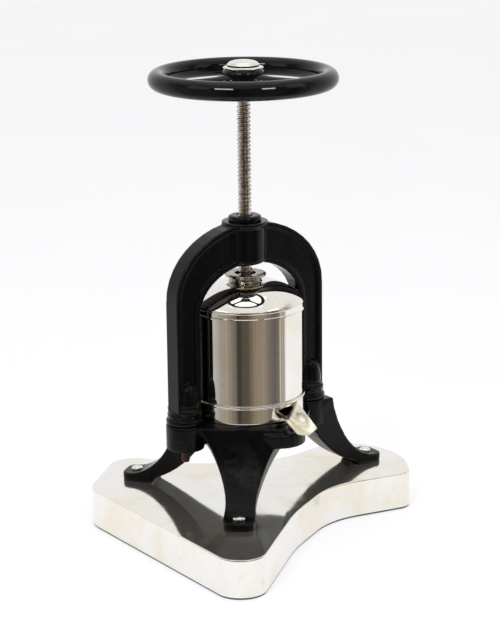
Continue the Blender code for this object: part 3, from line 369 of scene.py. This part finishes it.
# ---------------------------------------------------------------- shapes

def make(name, shape, material, body, replaced=(), sharp=32.0):
    """Turn a bmesh into a finished piece that rides on its body."""
    bmesh.ops.remove_doubles(shape, verts=shape.verts, dist=1e-6)
    bmesh.ops.recalc_face_normals(shape, faces=shape.faces)
    mesh = bpy.data.meshes.new(name)
    shape.to_mesh(mesh)
    shape.free()
    mesh.shade_smooth()
    mesh.set_sharp_from_angle(angle=math.radians(sharp))
    piece = bpy.data.objects.new(name, mesh)
    bpy.context.scene.collection.objects.link(piece)
    mesh.materials.append(material)
    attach(piece, body)
    if replaced:
        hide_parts(*replaced)
    return piece


SUPPORT = 0.0003


def softened(points, radius, closed=False, steps=4):
    """Round the corners of a profile."""
    out = []
    count = len(points)
    for i, point in enumerate(points):
        if not closed and i in (0, count - 1):
            out.append(point)
            continue
        here = Vector(point)
        before = Vector(points[i - 1]) - here
        after = Vector(points[(i + 1) % count]) - here
        if before.length < 1e-7 or after.length < 1e-7:
            out.append(point)
            continue
        reach = min(radius, before.length * 0.45, after.length * 0.45)
        start = here + before.normalized() * reach
        end = here + after.normalized() * reach
        for k in range(steps + 1):
            t = k / steps
            out.append(tuple(start * (1 - t) ** 2 + here * 2 * t * (1 - t) + end * t * t))
    return out


def supported(profile, closed):
    """Add points close to the ends of each long straight run, so that its shading stays true."""
    out = []
    for i, point in enumerate(profile):
        out.append(point)
        if i == len(profile) - 1 and not closed:
            break
        here, after = Vector(point), Vector(profile[(i + 1) % len(profile)])
        if (after - here).length > 5 * SUPPORT:
            step = (after - here).normalized() * SUPPORT
            out += [tuple(here + step), tuple(after - step)]
    return out


def spun(profile, steps=160, closed=True):
    """Spin a (radius, height) profile round the Z axis."""
    profile = supported(profile, closed)
    shape = bmesh.new()
    points = [shape.verts.new((max(radius, 0.0), 0.0, height)) for radius, height in profile]
    edges = []
    for i, first in enumerate(points):
        second = points[(i + 1) % len(points)]
        if i == len(points) - 1 and not closed:
            break
        if first.co.x > 1e-8 or second.co.x > 1e-8:
            edges.append(shape.edges.new((first, second)))
    bmesh.ops.spin(shape, geom=points + edges, cent=(0, 0, 0), axis=(0, 0, 1), angle=math.tau,
                   steps=steps, use_merge=True)
    bmesh.ops.remove_doubles(shape, verts=shape.verts, dist=1e-7)
    return shape


def loft(shape, rings, capped=True):
    """Bridge rings of points inside an existing bmesh."""
    loops = []
    for ring in rings:
        points = [shape.verts.new(point) for point in ring]
        loops.append([shape.edges.new((a, b)) for a, b in zip(points, points[1:] + points[:1])])
    for first, second in zip(loops, loops[1:]):
        bmesh.ops.bridge_loops(shape, edges=first + second)
    if capped:
        bmesh.ops.contextual_create(shape, geom=loops[0])
        bmesh.ops.contextual_create(shape, geom=loops[-1])


def moved(shape, x=0.0, y=0.0, z=0.0):
    bmesh.ops.translate(shape, verts=shape.verts, vec=(x, y, z))
    return shape


def merged(base, extra):
    """Add one bmesh's geometry to another."""
    mesh = bpy.data.meshes.new("scratch")
    extra.to_mesh(mesh)
    extra.free()
    base.from_mesh(mesh)
    bpy.data.meshes.remove(mesh)
    return base


def cut(piece, tool_shape):
    """Cut a tool out of a piece, and keep the result as plain mesh."""
    mesh = bpy.data.meshes.new("tool")
    bmesh.ops.recalc_face_normals(tool_shape, faces=tool_shape.faces)
    tool_shape.to_mesh(mesh)
    tool_shape.free()
    tool = bpy.data.objects.new("tool", mesh)
    bpy.context.scene.collection.objects.link(tool)
    step = piece.modifiers.new("cut", "BOOLEAN")
    step.operation = "DIFFERENCE"
    step.solver = "EXACT"
    step.object = tool
    bpy.context.view_layer.update()
    done = bpy.data.meshes.new_from_object(piece.evaluated_get(bpy.context.evaluated_depsgraph_get()))
    piece.modifiers.clear()
    piece.data = done
    bpy.data.objects.remove(tool, do_unlink=True)
    done.shade_smooth()
    done.set_sharp_from_angle(angle=math.radians(32))
    return piece


# ---------------------------------------------------------------- handwheel, cap and screw

WHEEL_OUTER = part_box("handwheel")[1][0]
HUB_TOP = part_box("cap_washer")[0][2] - 0.0003
RIM_TUBE = 0.0105
RIM_RADIUS = WHEEL_OUTER - RIM_TUBE
RIM_Z = 0.516
HUB_RADIUS = 0.0232
HUB_BOTTOM = 0.5012
HUB_BORE = 0.0080
SPOKE_AZIMUTH = 55.5
SPOKE_FILLET = 0.006     # how fast a spoke narrows away from the hub and the rim


def build_handwheel():
    turns = [math.tau * i / 40 for i in range(40)]
    rim = [(RIM_RADIUS + RIM_TUBE * math.cos(t), RIM_Z + RIM_TUBE * math.sin(t)) for t in turns]
    shape = spun(rim, 200)
    hub = [(HUB_BORE, HUB_BOTTOM), (HUB_RADIUS - 0.004, HUB_BOTTOM), (HUB_RADIUS, 0.5055),
           (HUB_RADIUS, HUB_TOP - 0.0032), (HUB_RADIUS - 0.0030, HUB_TOP), (HUB_BORE, HUB_TOP)]
    merged(shape, spun(softened(hub, 0.0022, closed=True), 96))
    for k in range(3):
        turn = Matrix.Rotation(math.radians(SPOKE_AZIMUTH + 120 * k), 4, "Z")
        rings = []
        for i in range(25):
            share = i / 24
            reach = min(0.014 + (RIM_RADIUS - 0.012) * share, RIM_RADIUS)
            from_hub = max(reach - HUB_RADIUS + 0.002, 0.0)
            from_rim = max(RIM_RADIUS - RIM_TUBE - reach, 0.0)
            near = math.exp(-from_hub / SPOKE_FILLET)
            far = math.exp(-from_rim / SPOKE_FILLET)
            wide = 0.0072 + 0.0046 * near + 0.0058 * far
            tall = 0.0052 + 0.0026 * near + 0.0030 * far
            rings.append([turn @ Vector((reach, wide * math.cos(math.tau * j / 28),
                                         RIM_Z - 0.0012 + tall * math.sin(math.tau * j / 28)))
                          for j in range(28)])
        loft(shape, rings)
    make("handwheel_fine", shape, GLOSS, "screw", ["handwheel"], 40)


CAP_BORE = 0.0053
CAP_TURN = -34.5         # degrees, where the washer's corners point
DOME_FLATNESS = 0.72     # the nut's dome, as a share of its full height


def build_cap():
    low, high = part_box("cap_washer")
    corner = (high[0] - low[0]) / 2
    washer = [(CAP_BORE, low[2]), (corner - 0.0004, low[2]), (corner, low[2] + 0.0006),
              (corner - 0.0014, high[2]), (CAP_BORE, high[2])]
    shape = spun(softened(washer, 0.0004, closed=True, steps=2), 6)
    turn = Matrix.Rotation(math.radians(CAP_TURN), 3, "Z")
    bmesh.ops.rotate(shape, verts=shape.verts, cent=(0, 0, 0), matrix=turn)
    piece = make("cap_washer_fine", shape, NICKEL, "screw", ["cap_washer"], 20)
    bevel = piece.modifiers.new("rounded", "BEVEL")
    bevel.width = 0.0007
    bevel.segments = 3
    bevel.limit_method = "ANGLE"
    bevel.angle_limit = math.radians(40)
    radius, low_z, high_z = span("cap_nut")
    base = low_z + 0.0024
    profile = [(CAP_BORE, low_z), (radius, low_z), (radius, low_z + 0.0014), (radius - 0.0012, base)]
    for i in range(1, 17):
        t = math.radians(90 * i / 16)
        reach = (radius - 0.0014) * math.cos(t) if i < 16 else 0.0
        profile.append((reach, base + (high_z - base) * DOME_FLATNESS * math.sin(t)))
    profile += [(0.0, low_z + 0.0052), (CAP_BORE, low_z + 0.0052)]
    make("cap_nut_fine", spun(profile, 128), NICKEL, "screw", ["cap_nut"], 40)


def threaded(low, high, lead, root, crest, segments=36):
    """A thread cut by spinning one pitch of its profile up a helix, on a plain core."""
    shape = bmesh.new()
    outline = [(root, 0.00), (root, 0.10), (crest - 0.0003, 0.30), (crest, 0.34), (crest, 0.66),
               (crest - 0.0003, 0.70), (root, 0.90), (root, 1.00)]
    points = [shape.verts.new((radius, 0, low + share * lead)) for radius, share in outline]
    edges = [shape.edges.new((a, b)) for a, b in zip(points, points[1:])]
    turns = int((high - low) / lead) - 1
    bmesh.ops.spin(shape, geom=points + edges, cent=(0, 0, 0), axis=(0, 0, 1), dvec=(0, 0, lead / segments),
                   angle=math.tau * turns, steps=segments * turns, use_merge=False)
    bmesh.ops.remove_doubles(shape, verts=shape.verts, dist=1e-5)
    skin = root + 0.00005
    plain = [(0, low - 0.0002), (skin, low - 0.0002), (skin, high + 0.0002), (0, high + 0.0002)]
    return merged(shape, spun(plain, segments, closed=False))


SCREW_SHOULDER = 0.2780
THREAD_TOP = 0.4930
THREAD_LEAD = 0.0045
THREAD_DEPTH = 0.0013
JOURNAL_RADIUS = 0.0068
SHANK_TOP = 0.5255
CAP_SPIGOT_RADIUS = 0.0050


def build_screw():
    low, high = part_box("press_screw")
    crest = high[0]
    neck = crest - 0.0019
    shank = crest - 0.0001
    shape = threaded(SCREW_SHOULDER + 0.004, THREAD_TOP, THREAD_LEAD, crest - THREAD_DEPTH, crest)
    plain = [(0.0, low[2]), (JOURNAL_RADIUS, low[2]), (JOURNAL_RADIUS, SCREW_SHOULDER),
             (crest, SCREW_SHOULDER), (crest, SCREW_SHOULDER + 0.0052),
             (neck, SCREW_SHOULDER + 0.0070), (0.0, SCREW_SHOULDER + 0.0070)]
    merged(shape, spun(softened(plain, 0.0004), 48, closed=False))
    top = [(0.0, THREAD_TOP - 0.004), (neck, THREAD_TOP - 0.004), (shank, THREAD_TOP - 0.0015),
           (shank, SHANK_TOP), (CAP_SPIGOT_RADIUS, SHANK_TOP), (CAP_SPIGOT_RADIUS, high[2]), (0.0, high[2])]
    merged(shape, spun(softened(top, 0.0004), 48, closed=False))
    make("press_screw_fine", shape, SCREW_STEEL, "screw", ["press_screw"], 30)


# ---------------------------------------------------------------- vessel, lid and pan

LID_CREASE = 0.2660      # where the skirt ends and the dome starts
LID_CURVE = 0.72         # below 1 the dome rises faster at its shoulder
NECK_RADIUS = 0.0190
LID_BORE = 0.0120
PLATE_WALL = 0.0013


def build_lid():
    radius, low, crown = span("lid")
    side = radius - 0.0010
    over = [(side, LID_CREASE)]
    for i in range(1, 49):
        t = (i / 48) ** 1.7
        rise = math.sin(math.pi / 2 * t) ** LID_CURVE
        over.append((side - (side - NECK_RADIUS) * t, LID_CREASE + (crown - LID_CREASE) * rise))
    outer = [(radius, low), (radius, low + 0.0012), (radius - 0.0002, low + 0.0018), (side, low + 0.0024),
             (side, LID_CREASE - 0.0010), (side + 0.0003, LID_CREASE - 0.0005)]
    under = [(r - PLATE_WALL, z - PLATE_WALL) for r, z in reversed(over)]
    hole = [(LID_BORE, crown), (LID_BORE, crown - PLATE_WALL)]
    profile = outer + over + hole + under + [(side - PLATE_WALL, low)]
    make("lid_fine", spun(profile, 192), SILVER, "lid", ["lid"], 34)

    radius, low, high = span("lid_collar")
    stem = NECK_RADIUS - 0.0012
    flange = high - 0.0036
    profile = [(LID_BORE, low), (stem + 0.0014, low), (stem + 0.0002, low + 0.0012), (stem, flange - 0.0012),
               (stem + 0.0010, flange - 0.0002), (radius - 0.0016, flange), (radius, flange + 0.0008),
               (radius, high - 0.0008), (radius - 0.0012, high), (LID_BORE, high)]
    # The collar takes the darker copy of the silver plate, which is painted shade.
    make("lid_collar_fine", spun(softened(profile, 0.0008, closed=True), 128), SHADED_COLLAR_SILVER, "lid",
         ["lid_collar"], 40)


def build_body():
    radius, low, high = span("vessel_body")
    inside = radius - PLATE_WALL
    profile = [(inside, low), (radius, low), (radius, high), (inside, high)]
    make("vessel_body_fine", spun(softened(profile, 0.0004, closed=True, steps=2), 192), SILVER, "frame",
         ["vessel_body"], 34)


PAN_RADIUS = 0.0656
PAN_WALL = 0.0014
PAN_SEAT = 0.0643        # the bore the vessel stands in
PAN_RIM = 0.1600
PAN_LEDGE = 0.1565
PAN_FLOOR = 0.1430
PAN_FOOT = 0.0612
SPOUT_TURN = Matrix.Rotation(math.radians(-82.0), 4, "Z")
SPOUT_ROOT = (0.0175, 0.1580, 0.0145)    # half width, height of the rim, depth
SPOUT_LIP = (0.0150, 0.1345, 0.0040)
SPOUT_LENGTH = 0.1010 - PAN_RADIUS
SPOUT_CURVE = 1.35       # 1 is a V, 2 is round
OUTLET_HALF = 0.0110


def trough_rings(thick, count, across_steps, radius):
    """Sections of the spout from its root to its lip, each round a wall of the given thickness."""
    rings = []
    for i in range(count + 1):
        share = i / count
        half, rim, depth = (a + (b - a) * share for a, b in zip(SPOUT_ROOT, SPOUT_LIP))
        upper, lower = [], []
        for k in range(across_steps + 1):
            side = -1 + 2 * k / across_steps
            y = half * side
            x = math.sqrt(radius ** 2 - y ** 2) + SPOUT_LENGTH * share
            z = rim - depth * (1 - abs(side) ** SPOUT_CURVE)
            upper.append(SPOUT_TURN @ Vector((x, y, z)))
            lower.append(SPOUT_TURN @ Vector((x, y, z - thick)))
        rings.append(upper + lower[::-1])
    return rings


def build_pan():
    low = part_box("pan")[0][2]
    inside = PAN_RADIUS - PAN_WALL
    shelf = PAN_SEAT - 0.0052
    under = PAN_FLOOR - PAN_WALL
    profile = [(0.0, under), (PAN_FOOT - 0.0025, under), (PAN_FOOT - 0.0025, low),
               (PAN_FOOT, low), (PAN_FOOT + 0.0012, low + 0.0006), (PAN_FOOT + 0.0012, low + 0.0016),
               (PAN_FOOT + 0.0004, low + 0.0024), (PAN_FOOT + 0.0016, low + 0.0036),
               (PAN_RADIUS - 0.0006, low + 0.0066), (PAN_RADIUS, low + 0.0100),
               (PAN_RADIUS, PAN_RIM - 0.0032), (PAN_RADIUS + 0.0008, PAN_RIM - 0.0026),
               (PAN_RADIUS + 0.0010, PAN_RIM - 0.0014), (PAN_RADIUS + 0.0006, PAN_RIM - 0.0002),
               (PAN_RADIUS - 0.0002, PAN_RIM), (PAN_SEAT, PAN_RIM), (PAN_SEAT, PAN_LEDGE),
               (shelf, PAN_LEDGE), (shelf, PAN_LEDGE - PAN_WALL), (inside, PAN_LEDGE - PAN_WALL - 0.002),
               (inside, PAN_FLOOR + 0.004), (inside - 0.004, PAN_FLOOR), (0.0, PAN_FLOOR)]
    pan = make("pan_fine", spun(softened(profile, 0.0007), 192, closed=False), SILVER, "frame",
               ["pan"], 36)
    tool = bmesh.new()
    spread = (OUTLET_HALF / SPOUT_ROOT[0]) ** SPOUT_CURVE
    steps = [-1 + i / 8 for i in range(17)]
    rim, depth = SPOUT_ROOT[1:]
    base = [(OUTLET_HALF * a, rim - depth * (1 - abs(a) ** SPOUT_CURVE * spread)) for a in steps]
    arch = [(OUTLET_HALF * a, 0.1545 - 0.0016 * a * a) for a in reversed(steps)]
    rings = [[SPOUT_TURN @ Vector((reach, a, z)) for a, z in base + arch] for reach in (0.0590, 0.0672)]
    loft(tool, rings)
    cut(pan, tool)
    shape = bmesh.new()
    loft(shape, trough_rings(0.0012, 20, 24, PAN_RADIUS - PAN_WALL / 2))
    spout = make("spout_fine", shape, SPOUT_SILVER, "frame", [], 50)
    edge = spout.modifiers.new("rounded", "BEVEL")
    edge.width = 0.0004
    edge.segments = 2
    edge.limit_method = "ANGLE"
    edge.angle_limit = math.radians(60)


# ---------------------------------------------------------------- plinth and baize

def tangent_outline(circles, step):
    """Closed outline round circles of (radius, x, y, turn), joined by straight tangents."""
    angles = []
    for first, second in zip(circles, circles[1:] + circles[:1]):
        across = Vector((second[1] - first[1], second[2] - first[2]))
        slant = math.asin((first[0] * first[3] - second[0] * second[3]) / across.length)
        travel = math.atan2(across.y, across.x) + slant
        angles.append((travel - first[3] * math.pi / 2, travel - second[3] * math.pi / 2))
    outline = []
    for i, (radius, x, y, turn) in enumerate(circles):
        start = angles[i - 1][1]
        sweep = (angles[i][0] - start) * turn % math.tau
        count = max(3, round(math.degrees(sweep) / step) + 1)
        for k in range(count):
            angle = start + turn * sweep * k / (count - 1)
            outline.append((x + radius * math.cos(angle), y + radius * math.sin(angle)))
    return outline


def plinth_outline(grow=0.0, step=2.0):
    circles = [(0.0290, -0.1220, -0.1630, 1), (0.2600, 0.1417, -0.3180, -1), (0.1000, 0.0962, -0.1596, -1),
               (0.0185, 0.1730, -0.0520, 1), (0.0850, 0.1267, 0.0, 1), (0.0185, 0.1730, 0.0520, 1),
               (0.1000, 0.0962, 0.1596, -1), (0.1150, 0.0697, 0.1923, -1), (0.0320, -0.0680, 0.1360, 1),
               (0.0450, -0.1060, 0.0830, 1)]
    return tangent_outline([(r + grow * turn, x, y, turn) for r, x, y, turn in circles], step)


def stacked(levels):
    """A closed block through a stack of (inset, height) outlines."""
    shape = bmesh.new()
    loft(shape, [[(x, y, z) for x, y in plinth_outline(-inset)] for inset, z in levels])
    return shape


PLINTH_EDGE = 0.0016


def build_plinth():
    low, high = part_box("plinth_shell")
    top = high[2]
    fillet = top - PLINTH_EDGE
    levels = [(PLINTH_EDGE, low[2]), (0.0, low[2]), (0.0, low[2] + 0.0004), (0.0, low[2] + 0.0008),
              (0.0, fillet - 0.0004), (0.0, fillet)]
    for i in range(1, 7):
        t = math.radians(90 * i / 6)
        levels.append((PLINTH_EDGE * (1 - math.cos(t)), fillet + PLINTH_EDGE * math.sin(t)))
    make("plinth_shell_fine", stacked(levels), PLINTH_SILVER, "frame", ["plinth_shell"], 30)

    low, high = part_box("baize_pad")
    levels = [(0.0020, low[2]), (0.0010, low[2] + 0.0003), (0.0004, low[2] + 0.0009),
              (0.0003, high[2] - 0.0004), (0.0008, high[2])]
    make("baize_pad_fine", stacked(levels), BAIZE, "frame", ["baize_pad"], 60)


# ---------------------------------------------------------------- iron

def smooth_casting(node, voxel, rounds, material):
    """Give a CAD casting the rounded edges and fillets of a real one."""
    piece = nodes[node]
    weld = piece.modifiers.new("weld", "WELD")
    weld.merge_threshold = 0.00001
    skin = piece.modifiers.new("skin", "REMESH")
    skin.mode = "VOXEL"
    skin.voxel_size = voxel
    skin.use_smooth_shade = True
    relax = piece.modifiers.new("relax", "SMOOTH")
    relax.factor = 0.5
    relax.iterations = rounds
    repaint(node, material)


def repaint(node, material):
    piece = nodes[node]
    if not piece.material_slots:
        piece.data.materials.append(material)
    for place in piece.material_slots:
        place.link = "OBJECT"
        place.material = material


BOLT_HEAD_RADIUS = 0.0068
BOLT_SHANK_RADIUS = 0.0035
BOLT_RIM = 0.0010        # the straight side of the head, below its dome
BOLT_DOME = 0.0032
STUD_RADIUS = 0.0043


def build_bolts():
    for place in ("right", "front", "back"):
        low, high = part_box("foot_bolt_" + place)
        x, y = (low[0] + high[0]) / 2, (low[1] + high[1]) / 2
        head = high[2] - 0.0042
        profile = [(0.0, low[2]), (BOLT_SHANK_RADIUS, low[2]), (BOLT_SHANK_RADIUS, head),
                   (BOLT_HEAD_RADIUS - 0.0004, head), (BOLT_HEAD_RADIUS, head + 0.0003),
                   (BOLT_HEAD_RADIUS, head + BOLT_RIM)]
        for i in range(1, 13):
            t = math.radians(90 * i / 12)
            reach = BOLT_HEAD_RADIUS * math.cos(t) if i < 12 else 0.0
            profile.append((reach, head + BOLT_RIM + BOLT_DOME * math.sin(t)))
        shape = moved(spun(profile, 64, closed=False), x, y)
        make("foot_bolt_fine_" + place, shape, NICKEL, "frame", ["foot_bolt_" + place], 40)


def build_studs():
    for side in ("left", "right"):
        low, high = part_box("post_stud_" + side)
        x = (low[0] + high[0]) / 2
        shape = moved(threaded(low[2] + 0.0008, low[2] + 0.024, 0.0015, 0.0040, 0.0048, 24), x)
        shank = [(0.0, low[2]), (STUD_RADIUS - 0.0007, low[2]), (STUD_RADIUS, low[2] + 0.0009),
                 (STUD_RADIUS, high[2]), (0.0, high[2])]
        merged(shape, moved(spun(shank, 32, closed=False), x))
        make("post_stud_fine_" + side, shape, RUST, "frame", ["post_stud_" + side], 40)


def build_collar():
    radius, low, high = span("boss_collar")
    bore = 0.0083
    profile = [(bore, low), (radius - 0.0006, low), (radius, low + 0.0008), (radius, high - 0.0030),
               (radius - 0.0006, high - 0.0012), (radius - 0.0030, high), (0.0100, high),
               (bore, high - 0.0010)]
    make("boss_collar_fine", spun(softened(profile, 0.0012, closed=True), 96), IRON, "frame",
         ["boss_collar"], 40)


# ---------------------------------------------------------------- light and camera

def emitter(name, place, aim, size, power):
    data = bpy.data.lights.new(name, "AREA")
    data.shape = "RECTANGLE"
    data.size, data.size_y = size
    data.energy = power
    lamp = bpy.data.objects.new(name, data)
    bpy.context.scene.collection.objects.link(lamp)
    lamp.location = place
    lamp.rotation_mode = "QUATERNION"
    lamp.rotation_quaternion = (Vector(aim) - Vector(place)).to_track_quat("-Z", "Y")
    return lamp


TOWARDS_CAMERA = Vector((-0.5662, -0.8243, 0.0))
SIDEWAYS = Vector((0.8243, -0.5662, 0.0))
CAMERA_AZIMUTH = math.degrees(math.atan2(TOWARDS_CAMERA.y, TOWARDS_CAMERA.x))
ROOM_DIRECTION = (-0.50, -0.73, 0.47)
BACKDROP = (0.972, 0.974, 0.995, 1.0)
CEILING = (0.93, 0.92, 0.89, 1.0)
PAPER_GLOW = (0.955, 0.955, 0.985, 1.0)
PAPER_STRENGTH = 0.625


def ramp_node(tree, factor, stops):
    node = tree.nodes.new("ShaderNodeValToRGB")
    ramp = node.color_ramp
    while len(ramp.elements) < len(stops):
        ramp.elements.new(1.0)
    for element, (place, colour) in zip(ramp.elements, stops):
        element.position = place
        element.color = (*colour, 1.0)
    tree.links.new(factor, node.inputs["Fac"])
    return node.outputs["Color"]


def build_world():
    """White behind and above the press and a dim warm room in front; the background itself is white."""
    world = bpy.data.worlds.new("studio")
    bpy.context.scene.world = world
    world.use_nodes = True
    tree = world.node_tree
    back = tree.nodes["Background"]
    coordinates = tree.nodes.new("ShaderNodeTexCoord")
    dot = tree.nodes.new("ShaderNodeVectorMath")
    dot.operation = "DOT_PRODUCT"
    dot.inputs[1].default_value = ROOM_DIRECTION
    tree.links.new(coordinates.outputs["Generated"], dot.inputs[0])
    share = map_range(tree, dot.outputs["Value"], -1.0, 1.0)
    room = ramp_node(tree, share, [(0.0, (0.95, 0.95, 0.96)), (0.40, (0.90, 0.90, 0.90)),
                                   (0.60, (0.30, 0.29, 0.27)), (0.80, (0.16, 0.14, 0.12))])
    parts = tree.nodes.new("ShaderNodeSeparateXYZ")
    tree.links.new(coordinates.outputs["Generated"], parts.inputs["Vector"])
    overhead = tree.nodes.new("ShaderNodeMix")
    overhead.data_type = "RGBA"
    overhead.inputs[7].default_value = CEILING
    tree.links.new(map_range(tree, parts.outputs["Z"], 0.58, 0.70), overhead.inputs["Factor"])
    tree.links.new(room, overhead.inputs[6])
    path = tree.nodes.new("ShaderNodeLightPath")
    seen = tree.nodes.new("ShaderNodeMix")
    seen.data_type = "RGBA"
    seen.inputs[7].default_value = BACKDROP
    tree.links.new(path.outputs["Is Camera Ray"], seen.inputs["Factor"])
    tree.links.new(overhead.outputs[2], seen.inputs[6])
    tree.links.new(seen.outputs[2], back.inputs["Color"])
    back.inputs["Strength"].default_value = 1.0


def build_floor():
    shape = bmesh.new()
    bmesh.ops.create_circle(shape, cap_ends=True, segments=96, radius=40.0)
    mesh = bpy.data.meshes.new("floor")
    shape.to_mesh(mesh)
    shape.free()
    floor = bpy.data.objects.new("floor", mesh)
    bpy.context.scene.collection.objects.link(floor)
    floor.location = (0, 0, -0.0002)
    paint = Paint("paper_floor", (0.42, 0.42, 0.43), 0.9, 0.0)
    sheet = paint.group("mottle", Scale=1.5, Low=0.3, High=0.7)
    paint.colour(paint.blend(sheet.outputs["Mask"], (0.41, 0.41, 0.42), (0.43, 0.43, 0.44)))
    paint.shader.inputs["Emission Color"].default_value = PAPER_GLOW
    paint.shader.inputs["Emission Strength"].default_value = PAPER_STRENGTH
    paint.shader.inputs["Specular IOR Level"].default_value = 0.0
    mesh.materials.append(paint.material)


# The room that the plated tube mirrors, from its left to its right, as (share of the sweep, colour).
ROOM_BANDS = [
    (0.00, (0.62, 0.60, 0.57)), (0.05, (0.42, 0.40, 0.37)), (0.12, (0.50, 0.48, 0.45)),
    (0.20, (0.34, 0.32, 0.30)), (0.27, (0.36, 0.31, 0.25)), (0.34, (0.22, 0.19, 0.16)),
    (0.385, (0.16, 0.135, 0.115)), (0.40, (0.055, 0.050, 0.045)), (0.435, (0.050, 0.045, 0.040)),
    (0.45, (0.09, 0.075, 0.058)), (0.52, (0.10, 0.08, 0.060)), (0.60, (0.26, 0.21, 0.155)),
    (0.70, (0.30, 0.25, 0.20)), (0.76, (0.20, 0.17, 0.155)), (0.84, (0.13, 0.115, 0.11)),
    (0.90, (0.20, 0.17, 0.15)), (0.915, (0.62, 0.57, 0.42)), (0.935, (0.30, 0.26, 0.22)),
    (0.95, (0.46, 0.44, 0.42)), (0.965, (0.30, 0.25, 0.20)), (0.985, (0.62, 0.60, 0.57)),
    (1.00, (0.85, 0.84, 0.83))]
ROOM_RADIUS = 0.47
ROOM_HEIGHT = 0.66
ROOM_SWEEP = 164.0


def build_room():
    """A curved curtain in front of the table that only mirrors see."""
    shape = bmesh.new()
    start = CAMERA_AZIMUTH - ROOM_SWEEP / 2
    foot = shape.verts.new(Matrix.Rotation(math.radians(start), 3, "Z") @ Vector((ROOM_RADIUS, 0, 0.0)))
    head = shape.verts.new(foot.co + Vector((0, 0, ROOM_HEIGHT)))
    edge = shape.edges.new((foot, head))
    bmesh.ops.spin(shape, geom=[foot, head, edge], cent=(0, 0, 0), axis=(0, 0, 1),
                   angle=math.radians(ROOM_SWEEP), steps=96)
    mesh = bpy.data.meshes.new("room")
    shape.to_mesh(mesh)
    shape.free()
    room = bpy.data.objects.new("room", mesh)
    bpy.context.scene.collection.objects.link(room)
    paint = Paint("room_beyond", (0.0, 0.0, 0.0), 1.0, 0.0)
    tree = paint.tree
    turned = tree.nodes.new("ShaderNodeVectorRotate")
    turned.rotation_type = "Z_AXIS"
    turned.inputs["Angle"].default_value = -math.radians(CAMERA_AZIMUTH)
    tree.links.new(paint.vector, turned.inputs["Vector"])
    parts = tree.nodes.new("ShaderNodeSeparateXYZ")
    tree.links.new(turned.outputs["Vector"], parts.inputs["Vector"])
    azimuth = math_node(tree, "ARCTAN2", parts.outputs["Y"], parts.outputs["X"])
    half = math.radians(ROOM_SWEEP / 2)
    share = map_range(tree, azimuth, -half, half)
    colour = ramp_node(tree, share, ROOM_BANDS)
    tree.links.new(colour, paint.shader.inputs["Emission Color"])
    along = tree.nodes.new("ShaderNodeCombineXYZ")
    tree.links.new(azimuth, along.inputs["X"])
    streaks = map_range(tree, noise(tree, along.outputs["Vector"], 34.0, 4.0, 0.65), 0.30, 0.70, 0.72, 1.45)
    tree.links.new(streaks, paint.shader.inputs["Emission Strength"])
    paint.shader.inputs["Specular IOR Level"].default_value = 0.0
    mesh.materials.append(paint.material)
    for ray in ("camera", "diffuse", "transmission", "volume_scatter", "shadow"):
        setattr(room, "visible_" + ray, False)


def build_camera():
    data = bpy.data.cameras.new("camera")
    data.lens = 118.63
    data.sensor_width = 36.0
    data.shift_x = 0.0064
    data.shift_y = -0.0022
    data.clip_start = 0.05
    data.clip_end = 200.0
    camera = bpy.data.objects.new("camera", data)
    bpy.context.scene.collection.objects.link(camera)
    right = Vector((0.82257, -0.56856, -0.01066))
    up = Vector((0.15625, 0.20796, 0.96558))
    back = right.cross(up)
    turned = Matrix((right, up, back)).transposed().to_4x4()
    camera.matrix_world = Matrix.Translation((-1.30074, -1.89346, 0.86170)) @ turned
    bpy.context.scene.camera = camera


def build_lights():
    side = SIDEWAYS
    front = TOWARDS_CAMERA
    emitter("softbox_left", -side * 1.5 + front * 0.9 + Vector((0, 0, 1.35)), (0, 0, 0.25), (0.9, 1.2), 4.2)
    emitter("softbox_right", side * 1.4 + front * 0.5 + Vector((0, 0, 1.2)), (0, 0, 0.25), (0.7, 1.1), 2.6)
    emitter("overhead", -front * 0.3 + Vector((0, 0, 2.1)), (0, 0, 0.2), (1.3, 1.0), 2.2)
    emitter("lamp_left", front * 1.6 - side * 0.75 + Vector((0, 0, 1.75)), (0, 0, 0.45), (0.75, 0.17), 12.0)
    emitter("lamp_right", front * 1.5 + side * 0.95 + Vector((0, 0, 1.65)), (0, 0, 0.45), (0.52, 0.16), 8.0)


bpy.context.scene.view_settings.view_transform = "Standard"
build_camera()
build_world()
build_floor()
build_room()
build_lights()
build_handwheel()
build_cap()
build_screw()
build_lid()
build_body()
build_pan()
build_plinth()
build_bolts()
build_studs()
build_collar()
smooth_casting("yoke", 0.00100, 5, IRON)
smooth_casting("stand", 0.00115, 8, ROUGH_IRON)
repaint("plinth_core", WOOD)
for name in ("screw_nut", "thrust_washer"):
    repaint(name, BRONZE)
for name in ("nut_lock_screw", "hub_key", "spigot_washer", "spigot_screw", "foot_washer_right",
             "foot_washer_front", "foot_washer_back", "foot_nut_right", "foot_nut_front", "foot_nut_back"):
    repaint(name, PLAIN_STEEL)
for name in ("presser_plate", "strainer_basket"):
    repaint(name, SILVER)

bpy.context.view_layer.update()
